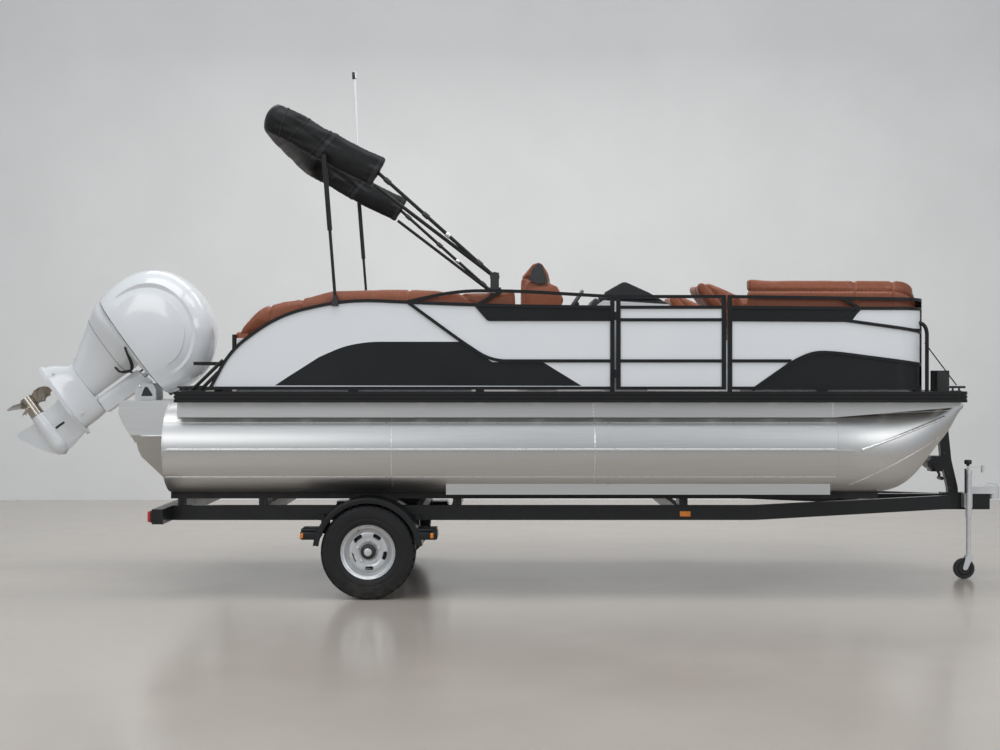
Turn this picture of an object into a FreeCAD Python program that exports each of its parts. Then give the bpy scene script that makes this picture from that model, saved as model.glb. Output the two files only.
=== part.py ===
"""Pontoon boat with a tilted outboard, standing on its single-axle bunk trailer.

Frame: +X towards the bow, +Y to port, +Z up, millimetres. The origin lies on the ground
under the middle of the whole length.
"""
import FreeCAD, Part
import math
import os
import re
from FreeCAD import Placement, Rotation, Vector

doc = FreeCAD.newDocument("PontoonBoat")
sheet = doc.addObject("Spreadsheet::Sheet", "Sizes")

# Driving sizes, in millimetres and degrees
SIZES = {
    "Pontoon tubes": {
        "tube_spread": 950, "tube_level": 1053.5, "tube_radius": 317.5, "tube_aft": -2372,
        "nose_start": 2321, "nose_length": 950, "nose_tip_width": 26, "nose_step": 1.5, "riser_width": 70,
        "riser_height": 7, "fin_length": 4780, "fin_reach": 25, "fin_thick": 8,
        "strake_offset": 196, "strake_aft": -408, "strake_length": 2688, "strake_drop": 323,
        "strake_thick": 5, "weld_ring": 3, "weld_width": 14,
    },
    "Deck": {
        "deck_aft": -2285, "deck_length": 5503, "deck_beam": 2590, "deck_top": 1450,
        "deck_thick": 22, "deck_corner": 90, "rail_height": 76, "rail_depth": 20,
        "rail_lip": 4, "rib_gap": 6, "beam_width": 45, "beam_count": 14, "skirt_spread": 1190,
        "skirt_thick": 3, "skirt_bottom": 1272, "skirt_rise": 73, "skirt_taper": 885,
    },
    "Fence": {
        "fence_spread": 1250, "fence_depth": 28, "fence_bar": 22, "panel_thick": 3,
        "panel_inset": 10, "fence_foot": 16, "fence_stern": -1880, "fence_bow": 2950,
        "fence_corner": 220, "arch_foot": -2045, "grab_level": 2112, "grab_start": -690,
        "top_level": 2038, "strip_level": 1951, "middle_level": 1666, "gate_aft": 776,
        "gate_length": 761, "gate_play": 12, "post_bar": 30, "brace_foot": -196,
        "stern_height": 1850, "end_gate_half": 340, "end_gate_play": 8, "hinge_radius": 9,
        "hinge_height": 46, "hinge_seat": 12, "hinge_pin": 4, "end_hinge": 11,
    },
    "Seats": {
        "seat_top": 1920, "cushion_thick": 95, "lounge_width": 640, "seat_gap": 6,
        "back_thick": 130, "stern_lounge_front": -230, "bow_lounge_aft": 1640,
        "bolster_top": 2252, "aft_back_top": 1862,
    },
    "Helm": {
        "helm_side": 720, "console_width": 700, "console_aft": 640, "console_front": 1010,
        "console_top": 2065, "screen_thick": 6, "screen_rise": 165,
        "wheel_radius": 150, "wheel_grip": 13, "wheel_tilt": 34, "wheel_stand": 490,
        "wheel_level": 2061, "chair_place": 245, "chair_side": 620, "chair_width": 480,
        "chair_seat": 1880, "chair_reach": 430, "pedestal_radius": 38,
        "pedestal_foot": 150,
    },
    "Bimini": {
        "pivot_place": -67, "pivot_level": 2253, "bow_side": 1165, "bow_reach": 1090,
        "bow_slope": 41.8, "boot_reach": 842, "boot_slope": 26.1, "boot_high": 215,
        "boot_wide": 100, "bow_radius": 13, "bow_fan": 9, "strut_side": 1240,
        "strut_foot_place": -1173, "strut_foot_level": 2104, "strut_top_place": -1250,
        "strut_top_level": 3083, "strut_inner": 11, "strut_outer": 17, "strut_visible": 455,
        "pole_place": -1240, "pole_foot": 3240, "pole_top": 4175, "pole_radius": 11,
    },
    "Outboard": {
        "tilt_place": -2764, "tilt_level": 1436, "tilt_angle": 54, "steer_back": 125,
        "cowl_half": 300, "cowl_wall": 10, "shaft_depth": 806, "torpedo_radius": 66,
        "hub_radius": 56, "hub_length": 165, "blade_radius": 198, "blade_count": 3,
        "plate_level": 575, "plate_half": 105, "swivel_half": 95,
        "clamp_thick": 26, "tilt_pin": 20,
    },
    "Motor pod": {
        "pod_half": 500, "pod_front": -1250, "transom_face": -2752,
        "transom_thick": 60, "transom_half": 440, "pod_keel": 775,
    },
    "Trailer": {
        "frame_side": 955, "frame_bar": 50, "frame_top": 640, "frame_height": 104,
        "frame_aft": -2435, "frame_bend": 1780, "tongue_meet": 3437, "tongue_half": 45,
        "tongue_aft": 2700, "tongue_tip": 3770, "tongue_height": 120, "cross_beam": 76,
        "rear_half": 1280, "bunk_inset": 130, "bunk_width": 66, "bunk_bottom": 690,
        "bunk_height": 78, "bunk_aft": -2370, "bunk_length": 5027, "bunk_play": 0.3,
        "bracket_length": 60, "bracket_reach": 200, "hub_place": -952, "wheel_size": 331.5,
        "wheel_face": 1205, "tyre_width": 205, "rim_radius": 198, "rim_wall": 8,
        "axle_bar": 60, "spindle_radius": 20, "spindle_back": 37, "tyre_play": 0.3,
        "fender_radius": 378, "fender_thick": 5, "fender_side": 1215, "spring_half": 330,
        "ball_radius": 25.8, "ball_depth": 32, "coupler_tip": 3855, "jack_place": 3579,
        "jack_side": 125, "jack_radius": 24, "jack_top": 870, "caster_radius": 79,
        "caster_trail": 37, "caster_width": 44, "winch_place": 3430, "post_bar_size": 76,
    },
}

row = 1
for heading, entries in SIZES.items():
    sheet.set("A%d" % row, heading)
    row += 1
    for alias, value in entries.items():
        sheet.set("A%d" % row, alias)
        sheet.set("B%d" % row, str(value))
        sheet.setAlias("B%d" % row, alias)
        row += 1
doc.recompute()
ALIASES = [alias for entries in SIZES.values() for alias in entries]
WORDS = re.compile(r"\b(" + "|".join(sorted(ALIASES, key=len, reverse=True)) + r")\b")


class Dimensions:
    """Reads a size of the sheet by its alias."""

    def __getattr__(self, alias):
        return float(sheet.get(alias))


d = Dimensions()


def bind(item, **expressions):
    """Bind properties of an object to expressions in the sheet's aliases."""
    for name, expression in expressions.items():
        item.setExpression(name.replace("_", "."), WORDS.sub(r"Sizes.\1", str(expression)))


def place(item, x="0", y="0", z="0"):
    """Bind the place of an object, axis by axis."""
    bind(item, Placement_Base_x=x, Placement_Base_y=y, Placement_Base_z=z)


def block(name, length, width, height, x, y, z):
    """A box from its low corner."""
    item = doc.addObject("Part::Box", name)
    bind(item, Length=length, Width=width, Height=height)
    place(item, x, y, z)
    return item


TURNS = {
    "x": Rotation(Vector(0, 1, 0), 90),
    "y": Rotation(Vector(1, 0, 0), -90),
    "z": Rotation(),
}


def rod(name, radius, length, x, y, z, along="z"):
    """A cylinder from the middle of its low end."""
    item = doc.addObject("Part::Cylinder", name)
    bind(item, Radius=radius, Height=length)
    item.Placement = Placement(Vector(), TURNS[along])
    place(item, x, y, z)
    return item


def joined(name, items):
    """Several touching solids as one."""
    item = doc.addObject("Part::MultiFuse", name)
    item.Shapes = items
    return item


def group(name, items):
    """Several solids that don't touch, kept together."""
    item = doc.addObject("Part::Compound", name)
    item.Links = items
    return item


def carved(name, base, tool):
    """A solid less a tool."""
    item = doc.addObject("Part::Cut", name)
    item.Base = base
    item.Tool = tool
    return item


def shared(name, first, second):
    """What two solids have in common."""
    item = doc.addObject("Part::Common", name)
    item.Base = first
    item.Tool = second
    return item


def shaped(name, shape, placement=None):
    """A solid made by its own function, placed afterwards."""
    item = doc.addObject("Part::Feature", name)
    item.Shape = shape
    if placement:
        item.Placement = placement
    return item


def mirrored(name, source):
    """The same piece on the port side."""
    item = doc.addObject("Part::Mirroring", name)
    item.Source = source
    item.Normal = Vector(0, 1, 0)
    return item


# Flat outlines: lines with tangent arcs at their corners
def corner_arc(before, corner, after, radius=None, limit=0.49):
    """Tangent points and middle of the arc that rounds a corner, within a share of its legs."""
    into = (corner - before).normalize()
    out = (after - corner).normalize()
    turn = math.acos(max(-1.0, min(1.0, into.dot(out))))
    if turn < 1e-6:
        return None
    shorter = min((corner - before).Length, (after - corner).Length)
    if radius is None:
        radius = 0.45 * shorter / math.tan(turn / 2)
    reach = min(radius * math.tan(turn / 2), limit * shorter)
    radius = reach / math.tan(turn / 2)
    start = corner - into * reach
    end = corner + out * reach
    inward = (out - into).normalize()
    centre = corner + inward * (radius / math.cos(turn / 2))
    middle = centre - inward * radius
    return start, middle, end, centre, radius


def rounded(points, limit=0.49):
    """Edges of a closed outline as start, middle, end; a third number rounds a corner."""
    corners = [Vector(p[0], p[1], 0) for p in points]
    radii = [p[2] if len(p) > 2 else 0 for p in points]
    count = len(corners)
    stops = []
    for index in range(count):
        corner = corners[index]
        arc = None
        if radii[index] is None or radii[index] > 0:
            arc = corner_arc(corners[index - 1], corner, corners[(index + 1) % count], radii[index],
                             limit)
        stops.append((arc[0], arc[1], arc[2]) if arc else (corner, None, corner))
    edges = []
    for index in range(count):
        here = stops[index]
        following = stops[(index + 1) % count]
        if here[1]:
            edges.append(here)
        if (following[0] - here[2]).Length > 1e-6:
            edges.append((here[2], None, following[0]))
    return edges


def strip(points, width, bend=None, limit=0.49):
    """Edges round a bar of even width that follows a path with tangent bends."""
    path = [Vector(p[0], p[1], 0) for p in points]
    half = width / 2
    stops = [(path[0], None, path[0])]
    for index in range(1, len(path) - 1):
        arc = corner_arc(path[index - 1], path[index], path[index + 1], bend, limit)
        if arc:
            stops.append((arc[0], arc[3], arc[2]))
    stops.append((path[-1], None, path[-1]))

    def side(sign):
        """The path's edges, set out to one side."""
        edges = []
        for here, following in zip(stops[:-1], stops[1:]):
            along = (following[0] - here[2]).normalize()
            aside = Vector(-along.y, along.x, 0) * (sign * half)
            edges.append((here[2] + aside, None, following[0] + aside))
            if following[1] is not None:
                centre = following[1]
                reach = following[0] - centre
                radius = reach.Length + (half if reach.dot(aside) > 0 else -half)
                start = centre + (following[0] - centre).normalize() * radius
                end = centre + (following[2] - centre).normalize() * radius
                middle = centre + ((start + end) * 0.5 - centre).normalize() * radius
                edges.append((start, middle, end))
        return edges

    left = side(1)
    right = [(end, middle, start) for start, middle, end in reversed(side(-1))]
    ring = left + [(left[-1][2], None, right[0][0])] + right + [(right[-1][2], None, left[0][0])]
    return ring


def curve(start, middle, end):
    """One edge of an outline."""
    return Part.ArcOfCircle(start, middle, end) if middle else Part.LineSegment(start, end)


PLANES = {"XZ": "XZ_Plane", "XY": "XY_Plane", "YZ": "YZ_Plane"}


def padded(name, outline, depth, x="0", y="0", z="0", plane="XZ"):
    """A body from one flat outline, padded to both sides of its plane."""
    body = doc.addObject("PartDesign::Body", name)
    sketch = body.newObject("Sketcher::SketchObject", name + "_sketch")
    origin = [f for f in body.Origin.OriginFeatures if f.Role == PLANES[plane]][0]
    sketch.AttachmentSupport = [(origin, "")]
    sketch.MapMode = "FlatFace"
    sketch.addGeometry([curve(*edge) for edge in outline], False)
    pad = body.newObject("PartDesign::Pad", name + "_pad")
    pad.Profile = sketch
    pad.Midplane = True
    bind(pad, Length=depth)
    body.Tip = pad
    place(body, x, y, z)
    return body


PARTS = {}


def keep(label, item):
    """Give a finished sub-part its label."""
    item.Label = label
    PARTS[label] = item
    return item


# Pontoon tubes: cylinder, raised nose, riser, lifting fins, keel strakes and weld rings
tube_top = d.tube_level + d.tube_radius
riser_top = tube_top + d.riser_height
nose_end = d.nose_start + d.nose_length
NOSE_STATIONS = (0.0, 0.1, 0.2, 0.3, 0.4, 0.5, 0.6, 0.7, 0.8, 0.9, 1.0)
NOSE_BOTTOM = (0.0, 0.0, 0.0, 0.0, 0.01, 0.055, 0.158, 0.33, 0.525, 0.72, 0.94)


def nose_section(share, lift):
    """An upright oval of the nose: the top stays level while the bottom sweeps up."""
    radius = d.tube_radius - d.nose_step
    top = d.tube_level + radius
    bottom = d.tube_level - radius + lift * 2 * radius
    half_width = radius * (1 - share ** 2.3) + d.nose_tip_width / 2 * share
    half_height = (top - bottom) / 2
    centre = Vector(nose_end - (1 - share) * (d.nose_length + 3), 0, (top + bottom) / 2)
    crown = centre + Vector(0, 0, half_height)
    flank = centre + Vector(0, min(half_width, half_height - 0.1), 0)
    return Part.Wire(Part.Ellipse(crown, flank, centre).toShape())


def tube_shape():
    """One tube about the plane y = 0."""
    radius = d.tube_radius
    length = d.nose_start - d.tube_aft
    barrel = Part.makeCylinder(radius, length, Vector(d.tube_aft, 0, d.tube_level), Vector(1, 0, 0))
    sections = [nose_section(s, b) for s, b in zip(NOSE_STATIONS, NOSE_BOTTOM)]
    nose = Part.makeLoft(sections, True)
    shape = barrel.fuse(nose)
    for place_x in (d.tube_aft, d.tube_aft + length * 0.33, d.tube_aft + length * 0.66, d.nose_start):
        ring = Part.makeCylinder(radius + d.weld_ring, d.weld_width,
                                 Vector(place_x - d.weld_width / 2, 0, d.tube_level), Vector(1, 0, 0))
        ring = ring.common(Part.makeBox(d.weld_width * 2, 3 * radius, 3 * radius,
                                        Vector(max(place_x - d.weld_width, d.tube_aft), -1.5 * radius,
                                               d.tube_level - 0.8 * radius)))
        shape = shape.fuse(ring)
    riser = Part.makeBox(nose_end - d.tube_aft - 40, d.riser_width, radius / 2 + d.riser_height,
                         Vector(d.tube_aft + 5, -d.riser_width / 2, riser_top - radius / 2 - d.riser_height))
    shape = shape.fuse(riser.cut(Part.makeBox(d.nose_length, d.riser_width, radius,
                                              Vector(d.nose_start, -d.riser_width / 2,
                                                     tube_top - 12 - radius))))
    fin = Part.makeBox(d.fin_length, 2 * (radius + d.fin_reach), d.fin_thick,
                       Vector(d.tube_aft + 10, -radius - d.fin_reach, d.tube_level - 12))
    shape = shape.fuse(fin)
    strake_bottom = tube_top - radius - d.strake_drop
    for sign in (-1, 1):
        offset = sign * d.strake_offset - d.strake_thick / 2
        reach = math.sqrt(radius ** 2 - d.strake_offset ** 2) - 30
        strake = Part.makeBox(d.strake_length, d.strake_thick, d.tube_level - reach - strake_bottom,
                              Vector(d.strake_aft, offset, strake_bottom))
        shape = shape.fuse(strake)
    return shape.removeSplitter()


for side, sign in (("starboard", -1), ("port", 1)):
    tube = shaped("Tube_" + side, tube_shape())
    place(tube, y="%d*tube_spread" % sign)
    keep("tube_" + side, tube)

# Deck: cross beams on the risers, the deck panel and the rub rail round its edge
deck_bottom = d.deck_top - d.deck_thick
deck_front = d.deck_aft + d.deck_length
deck_half = d.deck_beam / 2 - d.rail_depth
beams = []
beam_start = d.deck_aft + 70
beam_end = nose_end - 170
for index in range(int(d.beam_count)):
    beam_x = beam_start + index * (beam_end - beam_start) / (d.beam_count - 1)
    beam = block("Beam_%d" % index, "beam_width", "deck_beam-2*rail_depth",
                 "deck_top-deck_thick-tube_level-tube_radius-riser_height", "0",
                 "-deck_beam/2+rail_depth", "tube_level+tube_radius+riser_height")
    place(beam, "%f" % (beam_x - d.beam_width / 2), "-deck_beam/2+rail_depth",
          "tube_level+tube_radius+riser_height")
    beams.append(beam)
keep("crossbeams", group("Crossbeams", beams))

corner = d.deck_corner


def deck_outline(inset):
    """The deck's plan, rounded at the bow corners, set in from its outer edge."""
    half = d.deck_beam / 2 - inset
    bow_radius = max(corner - inset, 5)
    return rounded([(d.deck_aft + inset, -half, 20), (deck_front - inset, -half, bow_radius),
                    (deck_front - inset, half, bow_radius), (d.deck_aft + inset, half, 20)])


deck = padded("Deck", deck_outline(d.rail_depth), "deck_thick", z="deck_top-deck_thick/2", plane="XY")
keep("deck", deck)

rail_bottom = d.deck_top + d.rail_lip - d.rail_height
rail_outer = padded("Rail_outer", deck_outline(0), "rail_height",
                    z="deck_top+rail_lip-rail_height/2", plane="XY")
rail_inner = padded("Rail_inner", deck_outline(d.rail_depth), "rail_height*2",
                    z="deck_top", plane="XY")
rail = carved("Rail_ring", rail_outer, rail_inner)
for index in (1, 2):
    groove_outer = padded("Groove_outer_%d" % index, deck_outline(-5), "rib_gap",
                          z="deck_top+rail_lip-rail_height*%d/3" % index, plane="XY")
    groove_inner = padded("Groove_inner_%d" % index, deck_outline(d.rib_gap), "rib_gap*2",
                          z="deck_top+rail_lip-rail_height*%d/3" % index, plane="XY")
    rail = carved("Rail_groove_%d" % index, rail, carved("Groove_%d" % index, groove_outer, groove_inner))
keep("rub_rail", rail)

# Bright side skirts under the deck's edge
skirt_aft = d.deck_aft + 4
skirt_front = nose_end - 90
skirt_outline = rounded([(skirt_aft, d.skirt_bottom), (skirt_front - d.skirt_taper, d.skirt_bottom),
                         (skirt_front, d.skirt_bottom + d.skirt_rise), (skirt_front, riser_top),
                         (skirt_aft, riser_top)])
skirts = [padded("Skirt_" + side, skirt_outline, "skirt_thick",
                 y="%d*(skirt_spread-skirt_thick/2)" % sign)
          for side, sign in (("starboard", -1), ("port", 1))]
keep("side_skirts", group("Side_skirts", skirts))

# Motor pod: a hull-shaped box with side wings and a set-in transom
pod_aft = d.transom_face - 120
pod_outline = rounded([(pod_aft + 8, riser_top), (pod_aft, 1283), (pod_aft + 29, 1212),
                       (pod_aft + 101, 1094), (pod_aft + 130, 949), (pod_aft + 262, d.pod_keel),
                       (d.pod_front - 350, d.pod_keel), (d.pod_front, riser_top - 150),
                       (d.pod_front, riser_top)])
pod_solid = padded("Pod_solid", pod_outline, "2*pod_half")
pod_well = block("Pod_well", "transom_thick*3", "2*transom_half", "pod_keel",
                 "transom_face-transom_thick*3", "-transom_half", "pod_keel-100")
pod_body = carved("Pod_body", pod_solid, pod_well)
pod_section = padded("Pod_section", rounded([(-d.pod_half, riser_top), (-d.pod_half, 1120),
                                             (-150, d.pod_keel), (150, d.pod_keel),
                                             (d.pod_half, 1120), (d.pod_half, riser_top)]),
                     "2*(pod_front-transom_face)+1000", x="transom_face+500", plane="YZ")
pod_vee = shared("Pod_vee", pod_body, pod_section)
keep("motor_pod", pod_vee)

# Trailer frame: two bent rails, the tongue, cross members with bunk brackets
frame_middle = d.frame_top - d.frame_height / 2
rails = []
for side, sign in (("starboard", -1), ("port", 1)):
    path = [(d.frame_aft + d.cross_beam, sign * d.frame_side), (d.frame_bend, sign * d.frame_side),
            (d.tongue_meet, sign * (d.tongue_half + d.frame_bar))]
    rails.append(padded("Rail_" + side, strip(path, d.frame_bar, 260), "frame_height",
                        z="frame_top-frame_height/2", plane="XY"))
keep("frame_rails", group("Frame_rails", rails))

cross = [block("Rear_beam", "cross_beam", "2*rear_half", "frame_height", "frame_aft",
               "-rear_half", "frame_top-frame_height")]
inner_half = "(frame_side-frame_bar/2)"
for name, where in (("Aft_beam", "-1760"), ("Axle_beam", "-640"), ("Middle_beam", "-380"),
                    ("Front_beam", "1230")):
    cross.append(block(name, "cross_beam*0.66", "2*" + inner_half, "frame_height*0.8", where,
                       "-" + inner_half, "frame_top-frame_height*0.9"))
keep("frame_crossbeams", group("Frame_crossbeams", cross))

# Tongue: a box beam between the rails' front ends, with the coupler on its tip
def rail_side(x):
    """Middle of the converging rail at a place along the tongue."""
    share = (x - d.frame_bend) / (d.tongue_meet - d.frame_bend)
    return d.frame_side + share * (d.tongue_half + d.frame_bar - d.frame_side)


tongue = block("Tongue", "tongue_tip-tongue_aft", "2*tongue_half", "tongue_height", "tongue_aft",
               "-tongue_half", "frame_top-frame_height-10")
yoke_front = d.tongue_aft + d.cross_beam
yoke_slope = rail_side(d.tongue_aft) - rail_side(yoke_front)
yoke_reach = rail_side(yoke_front) - d.frame_bar / 2 - 4
yoke = padded("Yoke", rounded([(d.tongue_aft, -yoke_reach - yoke_slope), (yoke_front, -yoke_reach),
                               (yoke_front, yoke_reach), (d.tongue_aft, yoke_reach + yoke_slope)]),
              "frame_height*0.7", z="frame_top-frame_height/2", plane="XY")
keep("tongue", joined("Tongue_yoke", [tongue, yoke]))

coupler_level = d.frame_top - d.frame_height - 10 + d.tongue_height
coupler_body = padded("Coupler_body", rounded([(d.tongue_tip - 150, -38), (d.tongue_tip, -42),
                                               (d.coupler_tip, -42, 40), (d.coupler_tip, 42, 40),
                                               (d.tongue_tip, 42), (d.tongue_tip - 150, 38)]),
                      "56", z="%f+28" % coupler_level, plane="XY")
nose_block = rod("Coupler_nose", "42", "96", "coupler_tip-42", "0", "%f-40" % coupler_level)
coupler_lever = padded("Coupler_lever", strip([(d.tongue_tip - 60, coupler_level + 52),
                                               (d.tongue_tip + 10, coupler_level + 78),
                                               (d.coupler_tip - 10, coupler_level + 66)], 14, 60), "26")
socket = rod("Coupler_socket", "ball_radius", "ball_depth", "coupler_tip-42", "0",
             "%f-40" % coupler_level)
keep("coupler", carved("Coupler", joined("Coupler_whole", [coupler_body, nose_block, coupler_lever]),
                       socket))

# Bunks, hollowed to the tubes that lie on them, and the brackets that carry them
bunks = []
brackets = []
for side, sign in (("starboard", -1), ("port", 1)):
    cradle = rod("Cradle_" + side, "tube_radius+bunk_play", "bunk_length+200", "bunk_aft-100",
                 "%d*tube_spread" % sign, "tube_level", "x")
    for where, inset in (("inner", 1), ("outer", 0)):
        plank = block("Plank_%s_%s" % (side, where), "bunk_length", "bunk_width", "bunk_height",
                      "bunk_aft", "%d*(tube_spread-%d*bunk_inset)-bunk_width/2" % (sign, inset),
                      "bunk_bottom")
        bunks.append(carved("Bunk_%s_%s" % (side, where), plank, cradle))
    for index, where in enumerate((-2320, -1745, -365, 1245)):
        brackets.append(block("Bracket_%s_%d" % (side, index), "bracket_length", "bracket_reach",
                              "bunk_bottom-frame_top", "%d" % where,
                              "frame_side+frame_bar/2-bracket_reach" if sign > 0
                              else "-frame_side-frame_bar/2", "frame_top"))
keep("bunks", group("Bunks", bunks))
keep("bunk_brackets", group("Bunk_brackets", brackets))

# Axle: a square beam on two leaf springs, with a spindle at each end
axle_pieces = [block("Axle_bar", "axle_bar", "2*frame_side+2*40", "axle_bar", "hub_place-axle_bar/2",
                     "-frame_side-40", "wheel_size-axle_bar/2")]
spring_level = d.wheel_size + d.axle_bar / 2 + 18
for side, sign in (("starboard", -1), ("port", 1)):
    spring = padded("Spring_" + side,
                    strip([(d.hub_place - d.spring_half, spring_level + 90),
                           (d.hub_place, spring_level - 6), (d.hub_place + d.spring_half, spring_level + 90)],
                          36, 900), "frame_bar", y="%d*frame_side" % sign)
    axle_pieces.append(spring)
    axle_pieces.append(block("Spring_seat_" + side, "84", "frame_bar", "34", "hub_place-42",
                             "%d*frame_side-frame_bar/2" % sign, "wheel_size+axle_bar/2"))
    for end in (-1, 1):
        axle_pieces.append(block("Hanger_%s_%d" % (side, end), "60", "frame_bar",
                                 "frame_top-frame_height-%f" % (spring_level + 60),
                                 "hub_place+%d*(spring_half-10)-30" % end,
                                 "%d*frame_side-frame_bar/2" % sign, "%f" % (spring_level + 60)))
    start = "frame_side+38" if sign > 0 else "-wheel_face+spindle_back"
    axle_pieces.append(rod("Spindle_" + side, "spindle_radius", "wheel_face-spindle_back-frame_side-38",
                           "hub_place", start, "wheel_size", "y"))
keep("axle", joined("Axle", axle_pieces))

# Fenders: rolled arches on brackets from the rails, with a step pad before and behind
fender_arch = []
steps = []
for side, sign in (("starboard", -1), ("port", 1)):
    centre = (d.hub_place, d.wheel_size)
    outer = Part.makeCylinder(d.fender_radius + d.fender_thick, d.fender_side - 990,
                              Vector(centre[0], 0, centre[1]), Vector(0, 1, 0))
    inner = Part.makeCylinder(d.fender_radius, d.fender_side, Vector(centre[0], -1, centre[1]),
                              Vector(0, 1, 0))
    below = Part.makeBox(3 * d.fender_radius, d.fender_side, 2 * d.fender_radius,
                         Vector(centre[0] - 1.5 * d.fender_radius, -1, centre[1] + 46 - 2 * d.fender_radius))
    arch = outer.cut(inner).cut(below)
    arch.translate(Vector(0, 990, 0))
    pieces = [arch]
    for end in (-1, 1):
        foot = centre[0] + end * math.sqrt((d.fender_radius + d.fender_thick / 2) ** 2 - 150 ** 2)
        step_low = foot - 95 if end < 0 else foot
        pieces.append(Part.makeBox(95, d.fender_side - 990, 6, Vector(step_low, 990, centre[1] + 150)))
        reach = math.sqrt(d.fender_radius ** 2 - 208 ** 2) + 4
        bracket_low = centre[0] + end * (reach + 20) - 20
        pieces.append(Part.makeBox(40, 1030 - d.frame_side - d.frame_bar / 2, 40,
                                   Vector(bracket_low, d.frame_side + d.frame_bar / 2,
                                          centre[1] + 208)))
    whole = pieces[0]
    for piece in pieces[1:]:
        whole = whole.fuse(piece)
    whole = whole.cut(Part.makeCylinder(d.fender_radius, 600, Vector(centre[0], 800, centre[1]),
                                        Vector(0, 1, 0)))
    if sign < 0:
        whole = whole.mirror(Vector(), Vector(0, 1, 0))
    fender_arch.append(whole)
fenders = shaped("Fenders", Part.makeCompound(fender_arch))
keep("fenders", fenders)

# Lamps: red at the rear beam's ends, amber on the rails and on the step pads
lamps = []
for side, sign in (("starboard", -1), ("port", 1)):
    lamps.append(block("Tail_lamp_" + side, "34", "170", "84", "frame_aft-34",
                       "rear_half-170" if sign > 0 else "-rear_half", "frame_top-frame_height+10"))
    lamps.append(block("Side_lamp_" + side, "86", "14", "46", "1243",
                       "frame_side+frame_bar/2" if sign > 0 else "-frame_side-frame_bar/2-14",
                       "frame_top-frame_height+22"))
keep("trailer_lamps", group("Trailer_lamps", lamps))

# Winch stand: a post on the tongue that leans aft to a bow stop, with the winch on it
tongue_top = d.frame_top - d.frame_height - 10 + d.tongue_height
post = padded("Winch_post", strip([(d.winch_place + 60, tongue_top), (d.winch_place + 60, tongue_top + 40),
                                   (d.winch_place + 10, 900),
                                   (d.winch_place - 20, 1190)], d.post_bar_size, 300), "60")
foot_plate = block("Winch_foot", "190", "84", "10", "winch_place-30", "-42", "%f" % tongue_top)
stop_arm = block("Stop_arm", "110", "60", "60", "winch_place-150", "-30", "1130")
roller = rod("Bow_stop", "45", "150", "winch_place-160", "-75", "1160", "y")
drum_box = block("Winch_box", "90", "110", "120", "winch_place-118", "-55", "820")
drum = rod("Winch_drum", "42", "150", "winch_place-110", "-75", "880", "y")
crank = padded("Winch_crank", strip([(d.winch_place - 110, 880), (d.winch_place - 60, 800),
                                     (d.winch_place - 70, 775)], 18, 20), "10", y="-80")
grip = rod("Winch_grip", "14", "90", "winch_place-70", "-175", "775", "y")
keep("winch_stand", joined("Winch_stand", [post, foot_plate, stop_arm, roller, drum_box, drum,
                                           crank, grip]))


def turned(name, outline, x, y, z, axis="V_Axis", plane="XY"):
    """A body turned from a half outline about an axis of its sketch."""
    body = doc.addObject("PartDesign::Body", name)
    sketch = body.newObject("Sketcher::SketchObject", name + "_sketch")
    sketch.AttachmentSupport = [([f for f in body.Origin.OriginFeatures
                                  if f.Role == PLANES[plane]][0], "")]
    sketch.MapMode = "FlatFace"
    sketch.addGeometry([curve(*edge) for edge in outline], False)
    turn = body.newObject("PartDesign::Revolution", name + "_turn")
    turn.Profile = sketch
    turn.ReferenceAxis = (sketch, [axis])
    turn.Angle = 360
    body.Tip = turn
    place(body, x, y, z)
    return body


# Trailer wheels: tyre and slotted steel rim on each side
rim_seat = d.rim_radius - 8
half_tyre = d.tyre_width / 2
for side, sign in (("starboard", -1), ("port", 1)):
    middle = "%d*(wheel_face-tyre_width/2)" % sign
    bead = rim_seat + d.tyre_play
    tyre = turned("Tyre_" + side,
                  rounded([(bead, -half_tyre + 22), (d.rim_radius + 18, -half_tyre + 4, 30),
                           (265, -half_tyre, 60), (d.wheel_size, -half_tyre + 22, 26),
                           (d.wheel_size, half_tyre - 22, 26), (265, half_tyre, 60),
                           (d.rim_radius + 18, half_tyre - 4, 30), (bead, half_tyre - 22)]),
                  "hub_place", middle, "wheel_size")
    keep("tyre_" + side, tyre)
    out = sign
    face = half_tyre - 26
    inner = rim_seat - d.rim_wall
    rim_profile = [(rim_seat, -face), (rim_seat, face), (inner, face), (inner, 30), (150, 34),
                   (120, 26), (58, 30), (58, 64), (36, 74), (1, 74), (1, 66), (20.05, 66),
                   (20.05, -60), (44, -60), (44, 14), (120, 16), (150, 24), (inner, 20),
                   (inner, -face)]
    rim = turned("Rim_disc_" + side, rounded([(r, out * y) for r, y in rim_profile]),
                 "hub_place", middle, "wheel_size")
    slots = []
    for index in range(8):
        angle = math.radians(45 * index)
        slot = Part.makeBox(34, 80, 54, Vector(-17, -40, 126))
        slot = slot.makeFillet(15, [e for e in slot.Edges if abs(e.tangentAt(e.FirstParameter).y) > 0.9])
        slot.rotate(Vector(), Vector(0, 1, 0), 45 * index)
        slots.append(slot)
    slot_tool = shaped("Slots_" + side, Part.makeCompound(slots))
    place(slot_tool, "hub_place", "%d*(wheel_face-tyre_width/2+24)" % sign, "wheel_size")
    keep("rim_" + side, carved("Rim_" + side, rim, slot_tool))

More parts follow.
